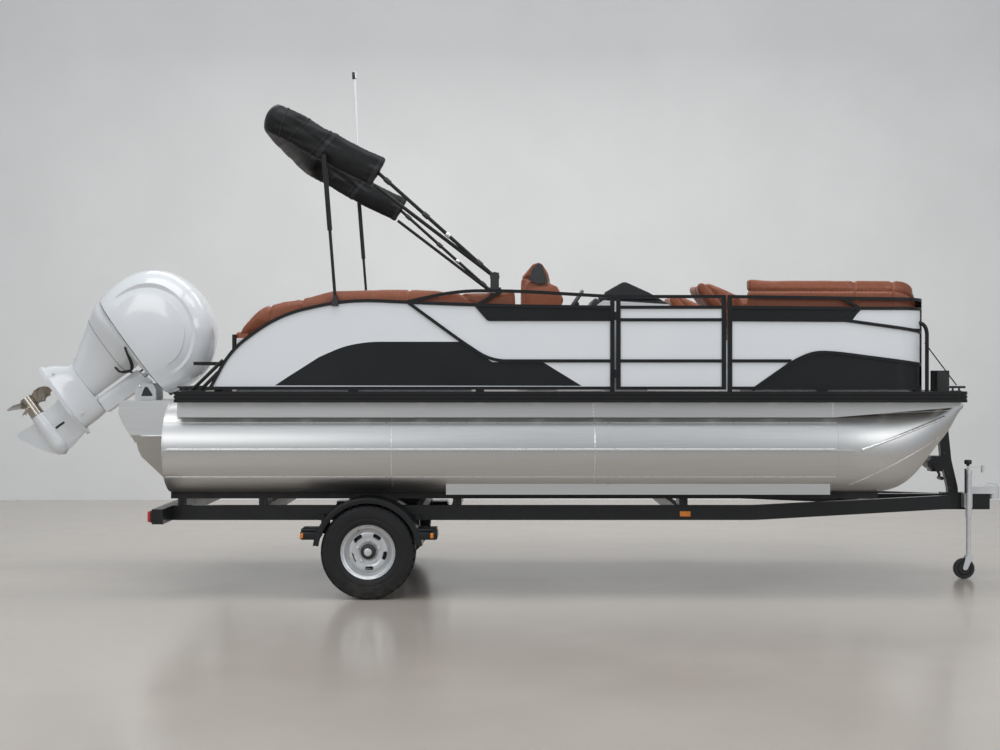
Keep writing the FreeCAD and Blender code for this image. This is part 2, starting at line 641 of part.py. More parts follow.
# Jack: bracket, tube and crank on the tongue, with a swivelling caster wheel
leg_bottom = 2 * d.caster_radius + 24
jack_side = "-jack_side"
jack_pieces = [
    rod("Jack_tube", "jack_radius", "jack_top-60-470", "jack_place", jack_side, "470"),
    rod("Jack_leg", "jack_radius-5", "500-%f" % leg_bottom, "jack_place", jack_side, "%f" % leg_bottom),
    block("Jack_bracket", "60", "jack_side-tongue_half", "110", "jack_place-30", "-jack_side", "545"),
    rod("Jack_cap", "jack_radius+5", "26", "jack_place", jack_side, "jack_top-62"),
    rod("Jack_screw", "9", "30", "jack_place", jack_side, "jack_top-40"),
    block("Jack_crank", "130", "16", "8", "jack_place-8", "-jack_side-8", "jack_top-18"),
    rod("Jack_knob", "12", "52", "jack_place+108", jack_side, "jack_top-52"),
]
keep("jack", joined("Jack", jack_pieces))
caster_pieces = [rod("Caster_cap", "30", "12", "jack_place", jack_side, "%f-12.3" % leg_bottom)]
for sign in (-1, 1):
    caster_pieces.append(padded(
        "Caster_cheek_%d" % sign,
        rounded([(d.jack_place - 28, leg_bottom - 13), (d.jack_place - d.caster_trail - 17, d.caster_radius - 8, 16),
                 (d.jack_place - d.caster_trail + 17, d.caster_radius - 12, 16),
                 (d.jack_place + 28, leg_bottom - 13)]), "5",
        y="-jack_side+%d*(caster_width/2+4)" % sign))
caster_pieces.append(block("Caster_bridge", "56", "caster_width+13", "6", "jack_place-28",
                           "-jack_side-caster_width/2-6.5", "%f-15" % leg_bottom))
caster_pieces.append(rod("Caster_pin", "7", "caster_width+12", "jack_place-caster_trail",
                         "-jack_side-caster_width/2-6", "caster_radius", "y"))
keep("jack_caster", joined("Jack_caster", caster_pieces))
wheel_profile = rounded([(7.05, -20), (44, -20), (50, -14), (56, -20), (d.caster_radius, -20, 6),
                         (d.caster_radius, 20, 6), (56, 20), (50, 14), (44, 20), (7.05, 20)])
keep("jack_wheel", turned("Jack_wheel", wheel_profile, "jack_place-caster_trail", "-jack_side",
                          "caster_radius"))

# Outboard, modelled upright about its tilt pin and then tilted up as it parks
def tilted(label, source):
    """A finished outboard piece, turned about the tilt pin."""
    doc.recompute()
    item = shaped(label.capitalize(), Part.makeCompound([source.Shape]))
    item.Placement = Placement(Vector(), Rotation(Vector(0, 1, 0), d.tilt_angle))
    bind(item, Placement_Rotation_Angle="tilt_angle")
    place(item, "tilt_place", "0", "tilt_level")
    return keep(label, item)


COWL_SIDE = ((-802, -171, 60), (-817, -301, 90), (-807, -441, 120), (-753, -567, 120),
             (-664, -669, 140), (-548, -733, 200), (-395, -769, 300), (-244, -760, 300),
             (-125, -721, 200), (-17, -641, 160), (73, -538, 150), (123, -428, 120),
             (131, -312, 100), (118, -192, 60))
SEAM = -140


def cowl_solid(name, inset, low):
    """The cowl's body: its side, plan and end outlines taken together."""
    centre = Vector(-343, 440, 0)
    side = []
    for a, b, radius in COWL_SIDE:
        out = Vector(a, -b, 0) - centre
        point = centre + out * (1 - inset / out.Length)
        side.append((point.x, point.y, radius))
    side = [(side[0][0], low)] + side + [(side[-1][0] - 10, low)]
    half = d.cowl_half - inset
    profile = padded(name + "_side", rounded(side), "2*cowl_half")
    plan = padded(name + "_plan",
                  rounded([(-817 + inset, -half * 0.55, 150), (-640, -half, 260), (-60, -half, 260),
                           (131 - inset, -half * 0.42, 110), (131 - inset, half * 0.42, 110),
                           (-60, half, 260), (-640, half, 260), (-817 + inset, half * 0.55, 150)]),
                  "2*cowl_half+1200", z="700", plane="XY")
    end = padded(name + "_end",
                 rounded([(-half, low - 1), (-half, 420, 200), (-half * 0.72, 700, 220),
                          (0, 775 - inset, 500), (half * 0.72, 700, 220), (half, 420, 200),
                          (half, low - 1)]), "2200", x="-343", plane="YZ")
    return shared(name, shared(name + "_trim", profile, plan), end)


cowl = carved("Cowl", cowl_solid("Cowl_outer", 0, -SEAM), cowl_solid("Cowl_inner", d.cowl_wall, -SEAM - 1))
tilted("engine_cowl", cowl)
power = block("Power_block", "430", "300", "440", "-560", "-150", "%f" % (-SEAM + 0.5))
tilted("powerhead", power)

pan = padded("Pan_side", rounded([(-802, -SEAM, 0), (-770, 60, 40), (-600, 30, 30), (-260, 62, 20),
                                  (92, 132), (118, -SEAM)]), "2*cowl_half*0.9")
pan_plan = padded("Pan_plan",
                  rounded([(-810, -d.cowl_half * 0.5, 150), (-640, -d.cowl_half * 0.88, 260),
                           (-60, -d.cowl_half * 0.88, 260), (122, -d.cowl_half * 0.4, 110),
                           (122, d.cowl_half * 0.4, 110), (-60, d.cowl_half * 0.88, 260),
                           (-640, d.cowl_half * 0.88, 260), (-810, d.cowl_half * 0.5, 150)]),
                  "800", z="100", plane="XY")
shank = padded("Shank", rounded([(-580, 30.3, 1), (-596, -219, 40), (-527, -330, 60), (-530, -370, 60),
                                 (-602, -475, 60), (-630, -555), (-60, -555), (-62, -420, 30),
                                 (-72, -353), (-218, -353), (-218, 61.7), (-262, 60.3, 20)]), "150")
steer_pin = rod("Steer_pin", "18", "445", "-steer_back", "0", "-360")
tilted("midsection", group("Midsection", [shared("Pan", pan, pan_plan),
                                          joined("Shank_whole", [shank, steer_pin])]))

plate = padded("Vent_plate", rounded([(-644, -d.plate_half * 0.6, 30), (-520, -d.plate_half, 80),
                                      (-200, -d.plate_half, 120), (-16, -18, 16), (-16, 18, 16),
                                      (-200, d.plate_half, 120), (-520, d.plate_half, 80),
                                      (-644, d.plate_half * 0.6, 30)]), "24",
               z="-plate_level+8", plane="XY")
leg_profile = padded("Leg_side", rounded([(-400, -d.plate_level - 4), (-365, -600, 20),
                                          (-350, -650, 30), (-350, -d.shaft_depth),
                                          (0, -d.shaft_depth), (-10, -720), (-43, -d.plate_level - 4)]),
                     "200")
leg_plan = padded("Leg_plan", rounded([(-620, -6), (-250, -46, 200), (-43, -20, 60), (8, 0, 6),
                                       (-43, 20, 60), (-250, 46, 200), (-620, 6)]), "600",
                  z="-700", plane="XY")
torpedo = turned("Torpedo", rounded([(-357, 0), (-357, 58), (-250, d.torpedo_radius, 200),
                                     (-60, d.torpedo_radius, 200), (-5, 34, 60), (12, 0)]),
                 "0", "0", "-shaft_depth", "H_Axis", "XZ")
skeg = padded("Skeg", rounded([(-320, -850), (-340, -1030, 20), (-300, -1034, 20), (-114, -935, 60),
                               (-10, -850)]), "12")
shaft = rod("Prop_shaft", "14", "150", "-490", "0", "-shaft_depth", "x")
tilted("lower_unit", joined("Lower_unit", [plate, shared("Leg", leg_profile, leg_plan), torpedo,
                                           skeg, shaft]))


def blade(angle):
    """One propeller blade: rounded sections that twist from the hub to the tip."""
    sections = []
    for share, chord, pitch, thick in ((0.0, 90, 62, 12), (0.35, 150, 44, 9), (0.7, 165, 30, 6),
                                       (0.92, 120, 24, 4), (1.0, 50, 22, 3)):
        radius = d.hub_radius - 12 + share * (d.blade_radius - d.hub_radius + 12)
        oval = Part.Ellipse(Vector(chord / 2, 0, 0), Vector(0, thick / 2, 0), Vector())
        wire = Part.Wire(oval.toShape())
        wire.rotate(Vector(), Vector(0, 0, 1), 90 - pitch)
        wire.translate(Vector(-12 * share, 0, radius))
        sections.append(wire)
    shape = Part.makeLoft(sections, True, True)
    shape.rotate(Vector(), Vector(1, 0, 0), angle)
    shape.translate(Vector(-359 - 0.68 * d.hub_length, 0, -d.shaft_depth))
    return shape


hub = turned("Hub", rounded([(-359, 14.05), (-359, d.hub_radius), (-359 - d.hub_length, d.hub_radius - 6),
                             (-359 - d.hub_length, 14.05)]),
             "0", "0", "-shaft_depth", "H_Axis", "XZ")
doc.recompute()
screw = hub.Shape
for index in range(int(d.blade_count)):
    screw = screw.fuse(blade(index * 360 / d.blade_count))
tilted("propeller", shaped("Screw", screw))

# Swivel bracket on the tilt pin, between the clamp brackets on the transom
swivel = padded("Swivel_side", rounded([(-62, 62, 20), (-195, 28, 20), (-195, -345), (-60, -345),
                                        (-58, -70, 40), (26, -26, 26), (26, 26, 26)]), "120")
swivel_pin = rod("Tilt_pin", "tilt_pin", "2*swivel_half+2*clamp_thick", "0",
                 "-swivel_half-clamp_thick", "0", "y")
swivel_bore = rod("Steer_bore", "18.05", "500", "-steer_back", "0", "-400")
swivel_plan = padded("Swivel_plan", rounded([(-195, -60, 55), (-60, -60, 20), (40, -60), (40, 60),
                                             (-60, 60, 20), (-195, 60, 55)]), "900", plane="XY")
tilted("swivel_bracket", carved("Swivel", joined("Swivel_whole", [shared("Swivel_form", swivel,
                                                                        swivel_plan), swivel_pin]),
                                swivel_bore))
clamps = []
pin_bore = rod("Pin_bore", "tilt_pin+0.05", "2*pod_half", "tilt_place", "-pod_half", "tilt_level", "y")
clamp_top = d.tilt_level + 68
for sign in (-1, 1):
    clamps.append(padded("Clamp_%d" % sign, rounded([
        (d.tilt_place - 78, riser_top - 280, 20), (d.tilt_place - 78, clamp_top, 60),
        (d.tilt_place + 82, clamp_top, 60), (d.tilt_place + 82, riser_top),
        (d.transom_face, riser_top), (d.transom_face, riser_top - 280)]), "clamp_thick",
        y="%d*(swivel_half+4+clamp_thick/2)" % sign))
keep("clamp_brackets", carved("Clamps_bored", group("Clamps", clamps), pin_bore))

# Fence: bars in the plane of each side, cut-out panels between them, gates in the gaps
half_bar = d.fence_bar / 2
bar_low = d.deck_top + d.fence_foot
gate_front = d.gate_aft + d.gate_length
aft_post = d.gate_aft - d.gate_play - d.post_bar / 2
bow_post = gate_front + d.gate_play + d.post_bar / 2
ARCH = [(d.arch_foot, bar_low), (-1895, 1745), (-1560, 1985), (-1090, 2092), (d.brace_foot, 2051),
        (aft_post, d.top_level)]
GRAB = [(d.grab_start, 2072), (-330, 2152), (60, 2152), (aft_post, d.grab_level)]
DIAGONAL = [(-662, 2066), (-283, 1790), (-90, d.middle_level), (aft_post, d.middle_level)]
STRIP = [(d.brace_foot, 2046), (-112, d.strip_level), (aft_post, d.strip_level)]


def bars(name, paths, depth, y="0"):
    """Bars along several paths of one upright plane, joined where they cross."""
    pieces = [padded("%s_%d" % (name, index), strip(path, width, bend), depth, y=y)
              for index, (path, width, bend) in enumerate(paths)]
    return joined(name, pieces)


def upright(x, low, high):
    """Path of a post."""
    return [(x, low), (x, high)]


aft_paths = [
    (ARCH, d.fence_bar, None), (GRAB, d.fence_bar, None), (DIAGONAL, d.fence_bar, None),
    (STRIP, d.fence_bar * 0.8, 30),
    ([(d.brace_foot, 2051), (-20, 2148)], d.fence_bar, None),
    ([(d.arch_foot - half_bar, bar_low + half_bar), (aft_post, bar_low + half_bar)], d.fence_bar, None),
    (upright(aft_post, bar_low, d.grab_level + half_bar), d.post_bar, None),
]
feet = [(-1950, -1890), (-1080, -1020), (-200, -140), (aft_post - d.post_bar / 2, aft_post + d.post_bar / 2)]
for low, high in feet:
    aft_paths.append(([(low, d.deck_top + d.fence_foot / 2), (high, d.deck_top + d.fence_foot / 2)],
                      d.fence_foot, None))
side_y = "-fence_spread+fence_depth/2"
aft_bars = bars("Aft_bars", aft_paths, "fence_depth", side_y)

# The stern return, from the side to the stern gate
stern_gate_post = d.end_gate_half + d.end_gate_play
stern_pieces = []
stern_reach = "fence_spread-fence_depth-end_gate_half-end_gate_play"
for name, low in (("low", bar_low), ("high", d.stern_height - d.fence_bar)):
    stern_pieces.append(block("Stern_rail_" + name, "fence_bar", stern_reach, "fence_bar",
                              "fence_stern-fence_bar/2", "-fence_spread+fence_depth", "%f" % low))
stern_pieces.append(block("Stern_post", "fence_bar", "post_bar", "stern_height-deck_top",
                          "fence_stern-fence_bar/2",
                          "-end_gate_half-end_gate_play-post_bar", "deck_top"))
stern_pieces.append(block("Stern_side_post", "fence_bar", "post_bar",
                          "stern_height-deck_top-fence_foot",
                          "fence_stern-fence_bar/2", "-fence_spread+fence_depth",
                          "deck_top+fence_foot"))


def hinge_pins(name, x, y, levels, arm):
    """Pins of a gate's hinge, each on a disc and an arm from the post beside it."""
    pieces = []
    for index, level in enumerate(levels):
        disc_low = "%f-hinge_seat" % level
        pieces.append(rod("%s_disc_%d" % (name, index), "hinge_radius-2", "hinge_seat-0.3",
                          x, y, disc_low))
        pieces.append(rod("%s_pin_%d" % (name, index), "hinge_pin", "hinge_seat+hinge_height-4",
                          x, y, disc_low))
        pieces.append(block("%s_arm_%d" % (name, index), arm[0], arm[1], "hinge_seat-0.3", arm[2],
                            arm[3], disc_low))
    return pieces


SIDE_LEVELS = (1560, 1960)
side_pins = hinge_pins("Side_hinge", "gate_aft-gate_play/2", "-fence_spread-hinge_radius-1",
                       SIDE_LEVELS, ("26", "17", "gate_aft-36", "-fence_spread-17"))
aft_frame = joined("Aft_frame", [aft_bars] + stern_pieces + side_pins)

# The bow section follows a curved wall in plan
wall_path = [(bow_post - d.post_bar / 2, -d.fence_spread + d.fence_depth / 2),
             (d.fence_bow - d.fence_depth / 2, -d.fence_spread + d.fence_depth / 2),
             (d.fence_bow - d.fence_depth / 2, -d.end_gate_half - d.end_gate_play)]
bow_x = d.fence_bow + 10
bow_paths = [
    ([(bow_post, d.top_level), (2480, 2030), (bow_x, 2030)], d.fence_bar, None),
    ([(bow_post, d.grab_level), (bow_x, 2092)], d.fence_bar, None),
    ([(bow_post, d.strip_level), (2363, d.strip_level - 4), (bow_x, 1864)], d.fence_bar, 200),
    ([(2340, 2098), (2478, 2028), (2350, 1946)], d.fence_bar * 0.8, 20),
    ([(bow_post, d.middle_level), (1990, d.middle_level)], d.fence_bar, None),
    ([(1722, bar_low), (2010, 1668), (2150, 1728), (2300, 1722), (bow_x, 1636)], d.fence_bar, None),
    ([(bow_post, bar_low + half_bar), (bow_x, bar_low + half_bar)], d.fence_bar, None),
    (upright(bow_post, bar_low, d.grab_level + half_bar), d.post_bar, None),
    (upright(d.fence_bow - 7, bar_low, 2100), 34, None),
]
for low, high in ((bow_post - 15, bow_post + 15), (2180, 2240), (2860, 2930)):
    bow_paths.append(([(low, d.deck_top + d.fence_foot / 2), (high, d.deck_top + d.fence_foot / 2)],
                      d.fence_foot, None))
bow_prism = bars("Bow_prism", bow_paths, "2*fence_spread+100")
bow_wall = padded("Bow_wall", strip(wall_path, d.fence_depth, d.fence_corner), "900",
                  z="deck_top+450", plane="XY")
bow_end = block("Bow_gate_post", "fence_depth", "post_bar", "2103-deck_top", "fence_bow-fence_depth",
                "-end_gate_half-end_gate_play-post_bar", "deck_top")
bow_frame = joined("Bow_frame", [shared("Bow_bars", bow_wall, bow_prism), bow_end])
keep("fence_starboard", group("Fence_starboard", [aft_frame, bow_frame]))

# The port side also carries the hinges of the stern and bow gates
END_LEVELS = {"stern": (1540, 1730), "bow": (1560, 1960)}
end_axis_y = "end_gate_half+end_gate_play/2"
stern_axis = "fence_stern+fence_bar/2+end_hinge"
bow_axis = "fence_bow-fence_depth/2-fence_bar/2-end_hinge"
stern_pins = hinge_pins("Stern_hinge", stern_axis, end_axis_y, END_LEVELS["stern"],
                        ("end_hinge+1", "22", "fence_stern+fence_bar/2-1", end_axis_y))
bow_pins = hinge_pins("Bow_hinge", bow_axis, end_axis_y, END_LEVELS["bow"],
                      ("end_hinge+1", "22", bow_axis, end_axis_y))
keep("fence_port", group("Fence_port", [
    joined("Aft_port", [mirrored("Aft_mirror", aft_frame)] + stern_pins),
    joined("Bow_port", [mirrored("Bow_mirror", bow_frame)] + bow_pins)]))

# Panels: the side wall less its bars, parted into white and black fields
middle_y = d.fence_spread - d.panel_inset - d.panel_thick / 2
aft_sheet = padded("Aft_sheet",
                   rounded([ARCH[0]] + [(x, z, None) for x, z in ARCH[1:-1]] +
                           [ARCH[-1], (aft_post, bar_low + half_bar), (d.arch_foot, bar_low + half_bar)]),
                   "panel_thick", y="%f" % -middle_y)
grab_sheet = padded("Grab_sheet", rounded([(-662, 2066), (-330, 2152, None), (60, 2152, None),
                                           (aft_post, d.grab_level), (aft_post, 2030), (-300, 2030)]),
                    "panel_thick", y="%f" % -middle_y)
LOW_BLACK = [(-1592, 1495), (-1492, 1561), (-1284, 1693), (-1111, 1769, None), (-940, 1799, None),
             (-300, 1799), (-83, 1658), (268, 1658), (538, 1492)]
aft_black = joined("Aft_black", [
    padded("Low_black", rounded(LOW_BLACK), "fence_depth", y=side_y),
    padded("Strip_black", rounded([(d.brace_foot, 2046), (-112, d.strip_level), (aft_post, d.strip_level),
                                   (aft_post, d.top_level)]), "fence_depth", y=side_y)])
bow_sheet = padded("Bow_sheet", strip([(bow_post, -middle_y), (d.fence_bow - d.panel_inset - 1.5, -middle_y),
                                       (d.fence_bow - d.panel_inset - 1.5, -stern_gate_post - 15)],
                                      d.panel_thick, d.fence_corner),
                   "%f" % (d.top_level - bar_low - 18), z="%f" % ((d.top_level + bar_low) / 2), plane="XY")
bow_black = joined("Bow_black", [
    padded("Bow_strip", rounded([(bow_post, 2038), (2478, 2030), (2350, 1949), (bow_post, 1951)]),
           "2*fence_spread+60"),
    padded("Bow_low_black", rounded([(1722, bar_low), (2010, 1668), (2150, 1728), (2300, 1722),
                                     (bow_x, 1636), (bow_x, bar_low)]), "2*fence_spread+60"),
    padded("Bow_high_black", rounded([(2363, 1946), (2478, 2030), (bow_x, 2030), (bow_x, 1864)]),
           "2*fence_spread+60")])
stern_sheet = block("Stern_sheet", "panel_thick", "fence_spread-fence_depth-end_gate_half-30",
                    "stern_height-deck_top-fence_foot-fence_bar", "fence_stern-panel_thick/2",
                    "-fence_spread+fence_depth+4", "deck_top+fence_foot+fence_bar/2")
aft_fields = carved("Aft_fields", aft_sheet, aft_bars)
bow_fields = carved("Bow_fields", bow_sheet, bow_frame)
stern_fields = carved("Stern_fields", stern_sheet, aft_frame)
white = group("White_starboard", [carved("Aft_white", aft_fields, aft_black),
                                  carved("Bow_white", bow_fields, bow_black), stern_fields])
black = group("Black_starboard", [shared("Aft_dark", aft_fields, aft_black),
                                  shared("Bow_dark", bow_fields, bow_black)])
keep("white_panels", group("White_panels", [white, mirrored("White_port", white)]))
keep("black_panels", group("Black_panels", [black, mirrored("Black_port", black)]))

# Side gates, hinged on their aft posts and opening outwards
gate_posts = (d.gate_aft + d.post_bar / 2, gate_front - d.post_bar / 2)
gate_paths = [(upright(x, bar_low, d.grab_level + half_bar), d.post_bar, None) for x in gate_posts]
for level in (bar_low + half_bar, d.middle_level, d.strip_level, d.top_level, d.grab_level):
    gate_paths.append(([(gate_posts[0], level), (gate_posts[1], level)], d.fence_bar, None))
gate_frame = bars("Gate_frame", gate_paths, "fence_depth", side_y)
knuckles = []
for index, level in enumerate(SIDE_LEVELS):
    knuckles.append(rod("Knuckle_%d" % index, "hinge_radius", "hinge_height", "gate_aft-gate_play/2",
                        "-fence_spread-hinge_radius-1", "%f" % level))
    knuckles.append(block("Leaf_%d" % index, "gate_play/2+post_bar*0.6", "5", "hinge_height",
                          "gate_aft-gate_play/2", "-fence_spread-5", "%f" % level))
side_bore = rod("Side_bore", "hinge_pin+0.05", "1000", "gate_aft-gate_play/2",
                "-fence_spread-hinge_radius-1", "deck_top")
gate_whole = carved("Gate_whole", joined("Gate_joined", [gate_frame] + knuckles), side_bore)
keep("gate_starboard", gate_whole)
keep("gate_port", mirrored("Gate_port", gate_whole))
gate_sheet = padded("Gate_sheet", rounded([(gate_posts[0], bar_low + half_bar),
                                           (gate_posts[1], bar_low + half_bar),
                                           (gate_posts[1], d.top_level), (gate_posts[0], d.top_level)]),
                    "panel_thick", y="%f" % -middle_y)
gate_fields = carved("Gate_fields", gate_sheet, gate_frame)
keep("gate_panels_starboard", group("Gate_panels", [gate_fields]))
keep("gate_panels_port", group("Gate_panels_port", [mirrored("Gate_panels_mirror", gate_fields)]))

# Bow and stern gates, one leaf each, hinged at their port posts and opening inwards
def end_gate(name, x, height, axis, levels, leaf_x):
    """A framed leaf across the walkway between the end posts."""
    pieces = []
    for index, level in enumerate(levels):
        pieces.append(rod("%s_knuckle_%d" % (name, index), "hinge_radius-1", "hinge_height", axis,
                          end_axis_y, "%f" % level))
        pieces.append(block("%s_leaf_%d" % (name, index), "end_hinge+1", "14", "hinge_height", leaf_x,
                            "end_gate_half-10", "%f" % level))
    for index, y in enumerate(("-end_gate_half", "end_gate_half-post_bar")):
        pieces.append(block("%s_stile_%d" % (name, index), "fence_bar", "post_bar",
                            "%s-deck_top-fence_foot" % height, x + "-fence_bar/2", y,
                            "deck_top+fence_foot"))
    for index, z in enumerate(("deck_top+fence_foot", "(%s+deck_top)/2" % height,
                               "%s-fence_bar" % height)):
        pieces.append(block("%s_rail_%d" % (name, index), "fence_bar", "2*end_gate_half-post_bar",
                            "fence_bar", x + "-fence_bar/2", "-end_gate_half+post_bar/2", z))
    pieces.append(block(name + "_sheet", "panel_thick", "2*end_gate_half-post_bar",
                        "%s-deck_top-fence_foot-fence_bar" % height, x + "-panel_thick/2",
                        "-end_gate_half+post_bar/2", "deck_top+fence_foot+fence_bar/2"))
    bore = rod(name + "_bore", "hinge_pin+0.05", "1000", axis, end_axis_y, "deck_top")
    return carved(name, joined(name + "_whole", pieces), bore)


keep("bow_gate", end_gate("Bow_gate", "(fence_bow-fence_depth/2)", "2103", bow_axis,
                          END_LEVELS["bow"], bow_axis))
keep("stern_gate", end_gate("Stern_gate", "fence_stern", "stern_height", stern_axis,
                            END_LEVELS["stern"], "fence_stern+fence_bar/2-1"))

# Lounges: bases, seat cushions and backrests on both sides
inner_wall = d.fence_spread - d.fence_depth
base_out = inner_wall - 14
base_in = base_out - d.lounge_width
cushion_low = d.seat_top - d.cushion_thick
stern_aft = d.fence_stern + half_bar + 6
bow_front = d.fence_bow - d.fence_depth - 10
bases = []
seats = {"stern": [], "bow": []}
backs = {"stern": [], "bow": []}
back_in = base_out - d.back_thick
corner_in = d.fence_corner - 30
for side, sign in (("starboard", -1), ("port", 1)):
    def plan(points):
        """A plan outline on this side."""
        return rounded([(p[0], sign * p[1]) + tuple(p[2:]) for p in points], 0.85)

    stern_plan = [(stern_aft, base_in), (d.stern_lounge_front, base_in, 60),
                  (d.stern_lounge_front, base_out), (stern_aft, base_out)]
    bow_plan = [(d.bow_lounge_aft, base_in), (bow_front, base_in, 60),
                (bow_front, base_out, corner_in), (d.bow_lounge_aft, base_out)]
    base_height = "%f" % (cushion_low - 0.3 - d.deck_top)
    base_middle = "%f" % ((cushion_low - 0.3 + d.deck_top) / 2)
    bases.append(padded("Stern_base_" + side, plan(stern_plan), base_height, z=base_middle, plane="XY"))
    bases.append(padded("Bow_base_" + side, plan(bow_plan), base_height, z=base_middle, plane="XY"))
    seat_in = base_in - 10
    seat_out = back_in - d.seat_gap
    aft_back = stern_aft + d.back_thick
    seats["stern"].append(padded(
        "Stern_seat_" + side, plan([(aft_back + d.seat_gap, seat_in, 40),
                                    (d.stern_lounge_front + 10, seat_in, 70),
                                    (d.stern_lounge_front + 10, seat_out, 20),
                                    (aft_back + d.seat_gap, seat_out, 20)]),
        "cushion_thick", z="seat_top-cushion_thick/2", plane="XY"))
    front_back = bow_front - d.back_thick
    seats["bow"].append(padded(
        "Bow_seat_" + side, plan([(d.bow_lounge_aft + 160, seat_in, 40),
                                  (front_back - d.seat_gap, seat_in, 40),
                                  (front_back - d.seat_gap, seat_out, corner_in - d.back_thick),
                                  (d.bow_lounge_aft + 160, seat_out, 20)]),
        "cushion_thick", z="seat_top-cushion_thick/2", plane="XY"))
    back_middle = sign * (base_out + back_in) / 2
    backs["stern"].append(padded(
        "Stern_back_" + side,
        rounded([(stern_aft + 2, cushion_low), (stern_aft + 2, 1850, 30), (-1555, 2086, 200),
                 (-1205, 2178, 200), (-772, 2191, 300), (-470, 2185, 40), (-380, 2163, 40), (100, 2163, 40),
                 (100, 1960, 30), (d.stern_lounge_front, cushion_low)]),
        "back_thick", y="%f" % back_middle))
    backs["stern"].append(padded(
        "Aft_back_" + side,
        rounded([(sign * base_in, cushion_low), (sign * base_in, d.aft_back_top, 40),
                 (sign * (back_in - d.seat_gap), d.aft_back_top, 20),
                 (sign * (back_in - d.seat_gap), cushion_low)]),
        "back_thick", x="%f" % (stern_aft + d.back_thick / 2), plane="YZ"))
    bolster_y = sign * (base_out - d.back_thick / 2)
    backs["bow"].append(padded(
        "Bow_back_" + side,
        strip([(1680, bolster_y), (bow_front - d.back_thick / 2, bolster_y),
               (bow_front - d.back_thick / 2, sign * (base_in + 10))], d.back_thick,
              corner_in - d.back_thick / 2, 0.85),
        "bolster_top-seat_top+cushion_thick",
        z="(bolster_top+seat_top-cushion_thick)/2", plane="XY"))
    backs["bow"].append(padded(
        "Chaise_back_" + side,
        rounded([(d.bow_lounge_aft + 10, cushion_low), (1345, 2185, 30), (1360, 2232, 30), (1430, 2226, 40),
                 (1652, 2128, 60), (d.bow_lounge_aft + 150, 1935, 30), (d.bow_lounge_aft + 150, cushion_low)]),
        "lounge_width-back_thick-seat_gap-20",
        y="%f" % (sign * ((base_in + back_in - d.seat_gap) / 2 + 5))))
keep("lounge_bases", group("Lounge_bases", bases))
keep("stern_seats", group("Stern_seats", seats["stern"]))
keep("bow_seats", group("Bow_seats", seats["bow"]))
keep("stern_backrests", group("Stern_backrests", backs["stern"]))
keep("bow_backrests", group("Bow_backrests", backs["bow"]))

# Helm: console, windscreen, chair on its pedestal, steering wheel
console = padded("Console_body", rounded([
    (d.console_aft + 70, d.deck_top), (d.console_front, d.deck_top, 30), (d.console_front + 130, 2000, 60),
    (d.console_front + 170, d.console_top, 14), (d.console_aft + 60, d.console_top + 30, 30),
    (d.console_aft - 8, d.console_top - 20, 20), (d.console_aft + 10, 1940, 30),
    (d.console_aft + 70, 1860, 40)]), "console_width", y="-helm_side")
wheel_turn = Rotation(Vector(0, 1, 0), 90 + d.wheel_tilt)
wheel_axis = wheel_turn.multVec(Vector(0, 0, 1))
wheel_centre = Vector(d.wheel_stand, -d.helm_side - 30, d.wheel_level)
helm_boss = shaped("Helm_boss", Part.makeCylinder(26, 130, wheel_centre + wheel_axis * 150, wheel_axis))
keep("console", joined("Console", [console, helm_boss]))
def on_dash(x):
    """Level of the screen's foot over the sloping dash."""
    return d.console_top + 30 * (d.console_front + 170 - x) / (d.console_front + 110 - d.console_aft) + 0.3


screen_aft = d.console_aft + 78
screen_fore = d.console_front + 140
screen_high = d.console_top + d.screen_rise
screen_paths = [(screen_aft, on_dash(screen_aft)), (screen_aft - 12, on_dash(screen_aft) + 56, 10),
                (d.console_aft + 207, screen_high, 50), (d.console_aft + 384, screen_high - 80, 60),
                (screen_fore, on_dash(screen_fore) + 8), (screen_fore, on_dash(screen_fore))]
screen_outer = padded("Screen_outer", rounded(screen_paths), "console_width-40", y="-helm_side")
screen_inner = padded("Screen_inner", rounded([
    (d.console_aft, d.console_top - 20), (d.console_aft, screen_high + 20),
    (d.console_aft + 207, screen_high - 8), (d.console_aft + 384, screen_high - 90),
    (screen_fore - 30, on_dash(screen_fore) - 1), (screen_fore - 30, d.console_top - 20)]),
                      "console_width-40-2*screen_thick", y="-helm_side")
keep("windscreen", carved("Windscreen", screen_outer, screen_inner))

pedestal = [rod("Pedestal_foot", "pedestal_foot", "12", "chair_place", "-chair_side", "deck_top"),
            rod("Pedestal_post", "pedestal_radius", "chair_seat-100-40-deck_top-12", "chair_place",
                "-chair_side", "deck_top+12"),
            block("Pedestal_top", "200", "180", "24", "chair_place-100", "-chair_side-90",
                  "chair_seat-100-40")]
keep("chair_pedestal", joined("Chair_pedestal", pedestal))
slider = block("Chair_slider", "300", "230", "15.7", "chair_place-120", "-chair_side-115",
               "chair_seat-100-15.7")
keep("chair_slider", group("Chair_slider_group", [slider]))
chair = padded("Chair", rounded([(125, 1900), (129, 2289, 40), (173, 2341, 30), (198, 2385, 30),
                                 (257, 2404, 40), (287, 2380, 30), (321, 2304, 60), (341, 2200, 60),
                                 (335, 1900, 30), (125 + d.chair_reach, 1885, 40),
                                 (125 + d.chair_reach, d.chair_seat - 100 + 0.3, 30),
                                 (140, d.chair_seat - 100 + 0.3, 30)]), "chair_width-110", y="-chair_side")
wings = [padded("Chair_wing_%d" % sign, rounded([(140, 1840, 30), (150, 2260, 60), (341, 2253, 40),
                (390, 2212, 30), (439, 2110, 30), (415, 2040, 30),
                                                 (370, 1950, 30), (365, 1840, 30)]), "55.1",
                y="-chair_side+%d*(chair_width/2-27.5)" % sign) for sign in (-1, 1)]
keep("helm_chair", joined("Helm_chair", [chair] + wings))

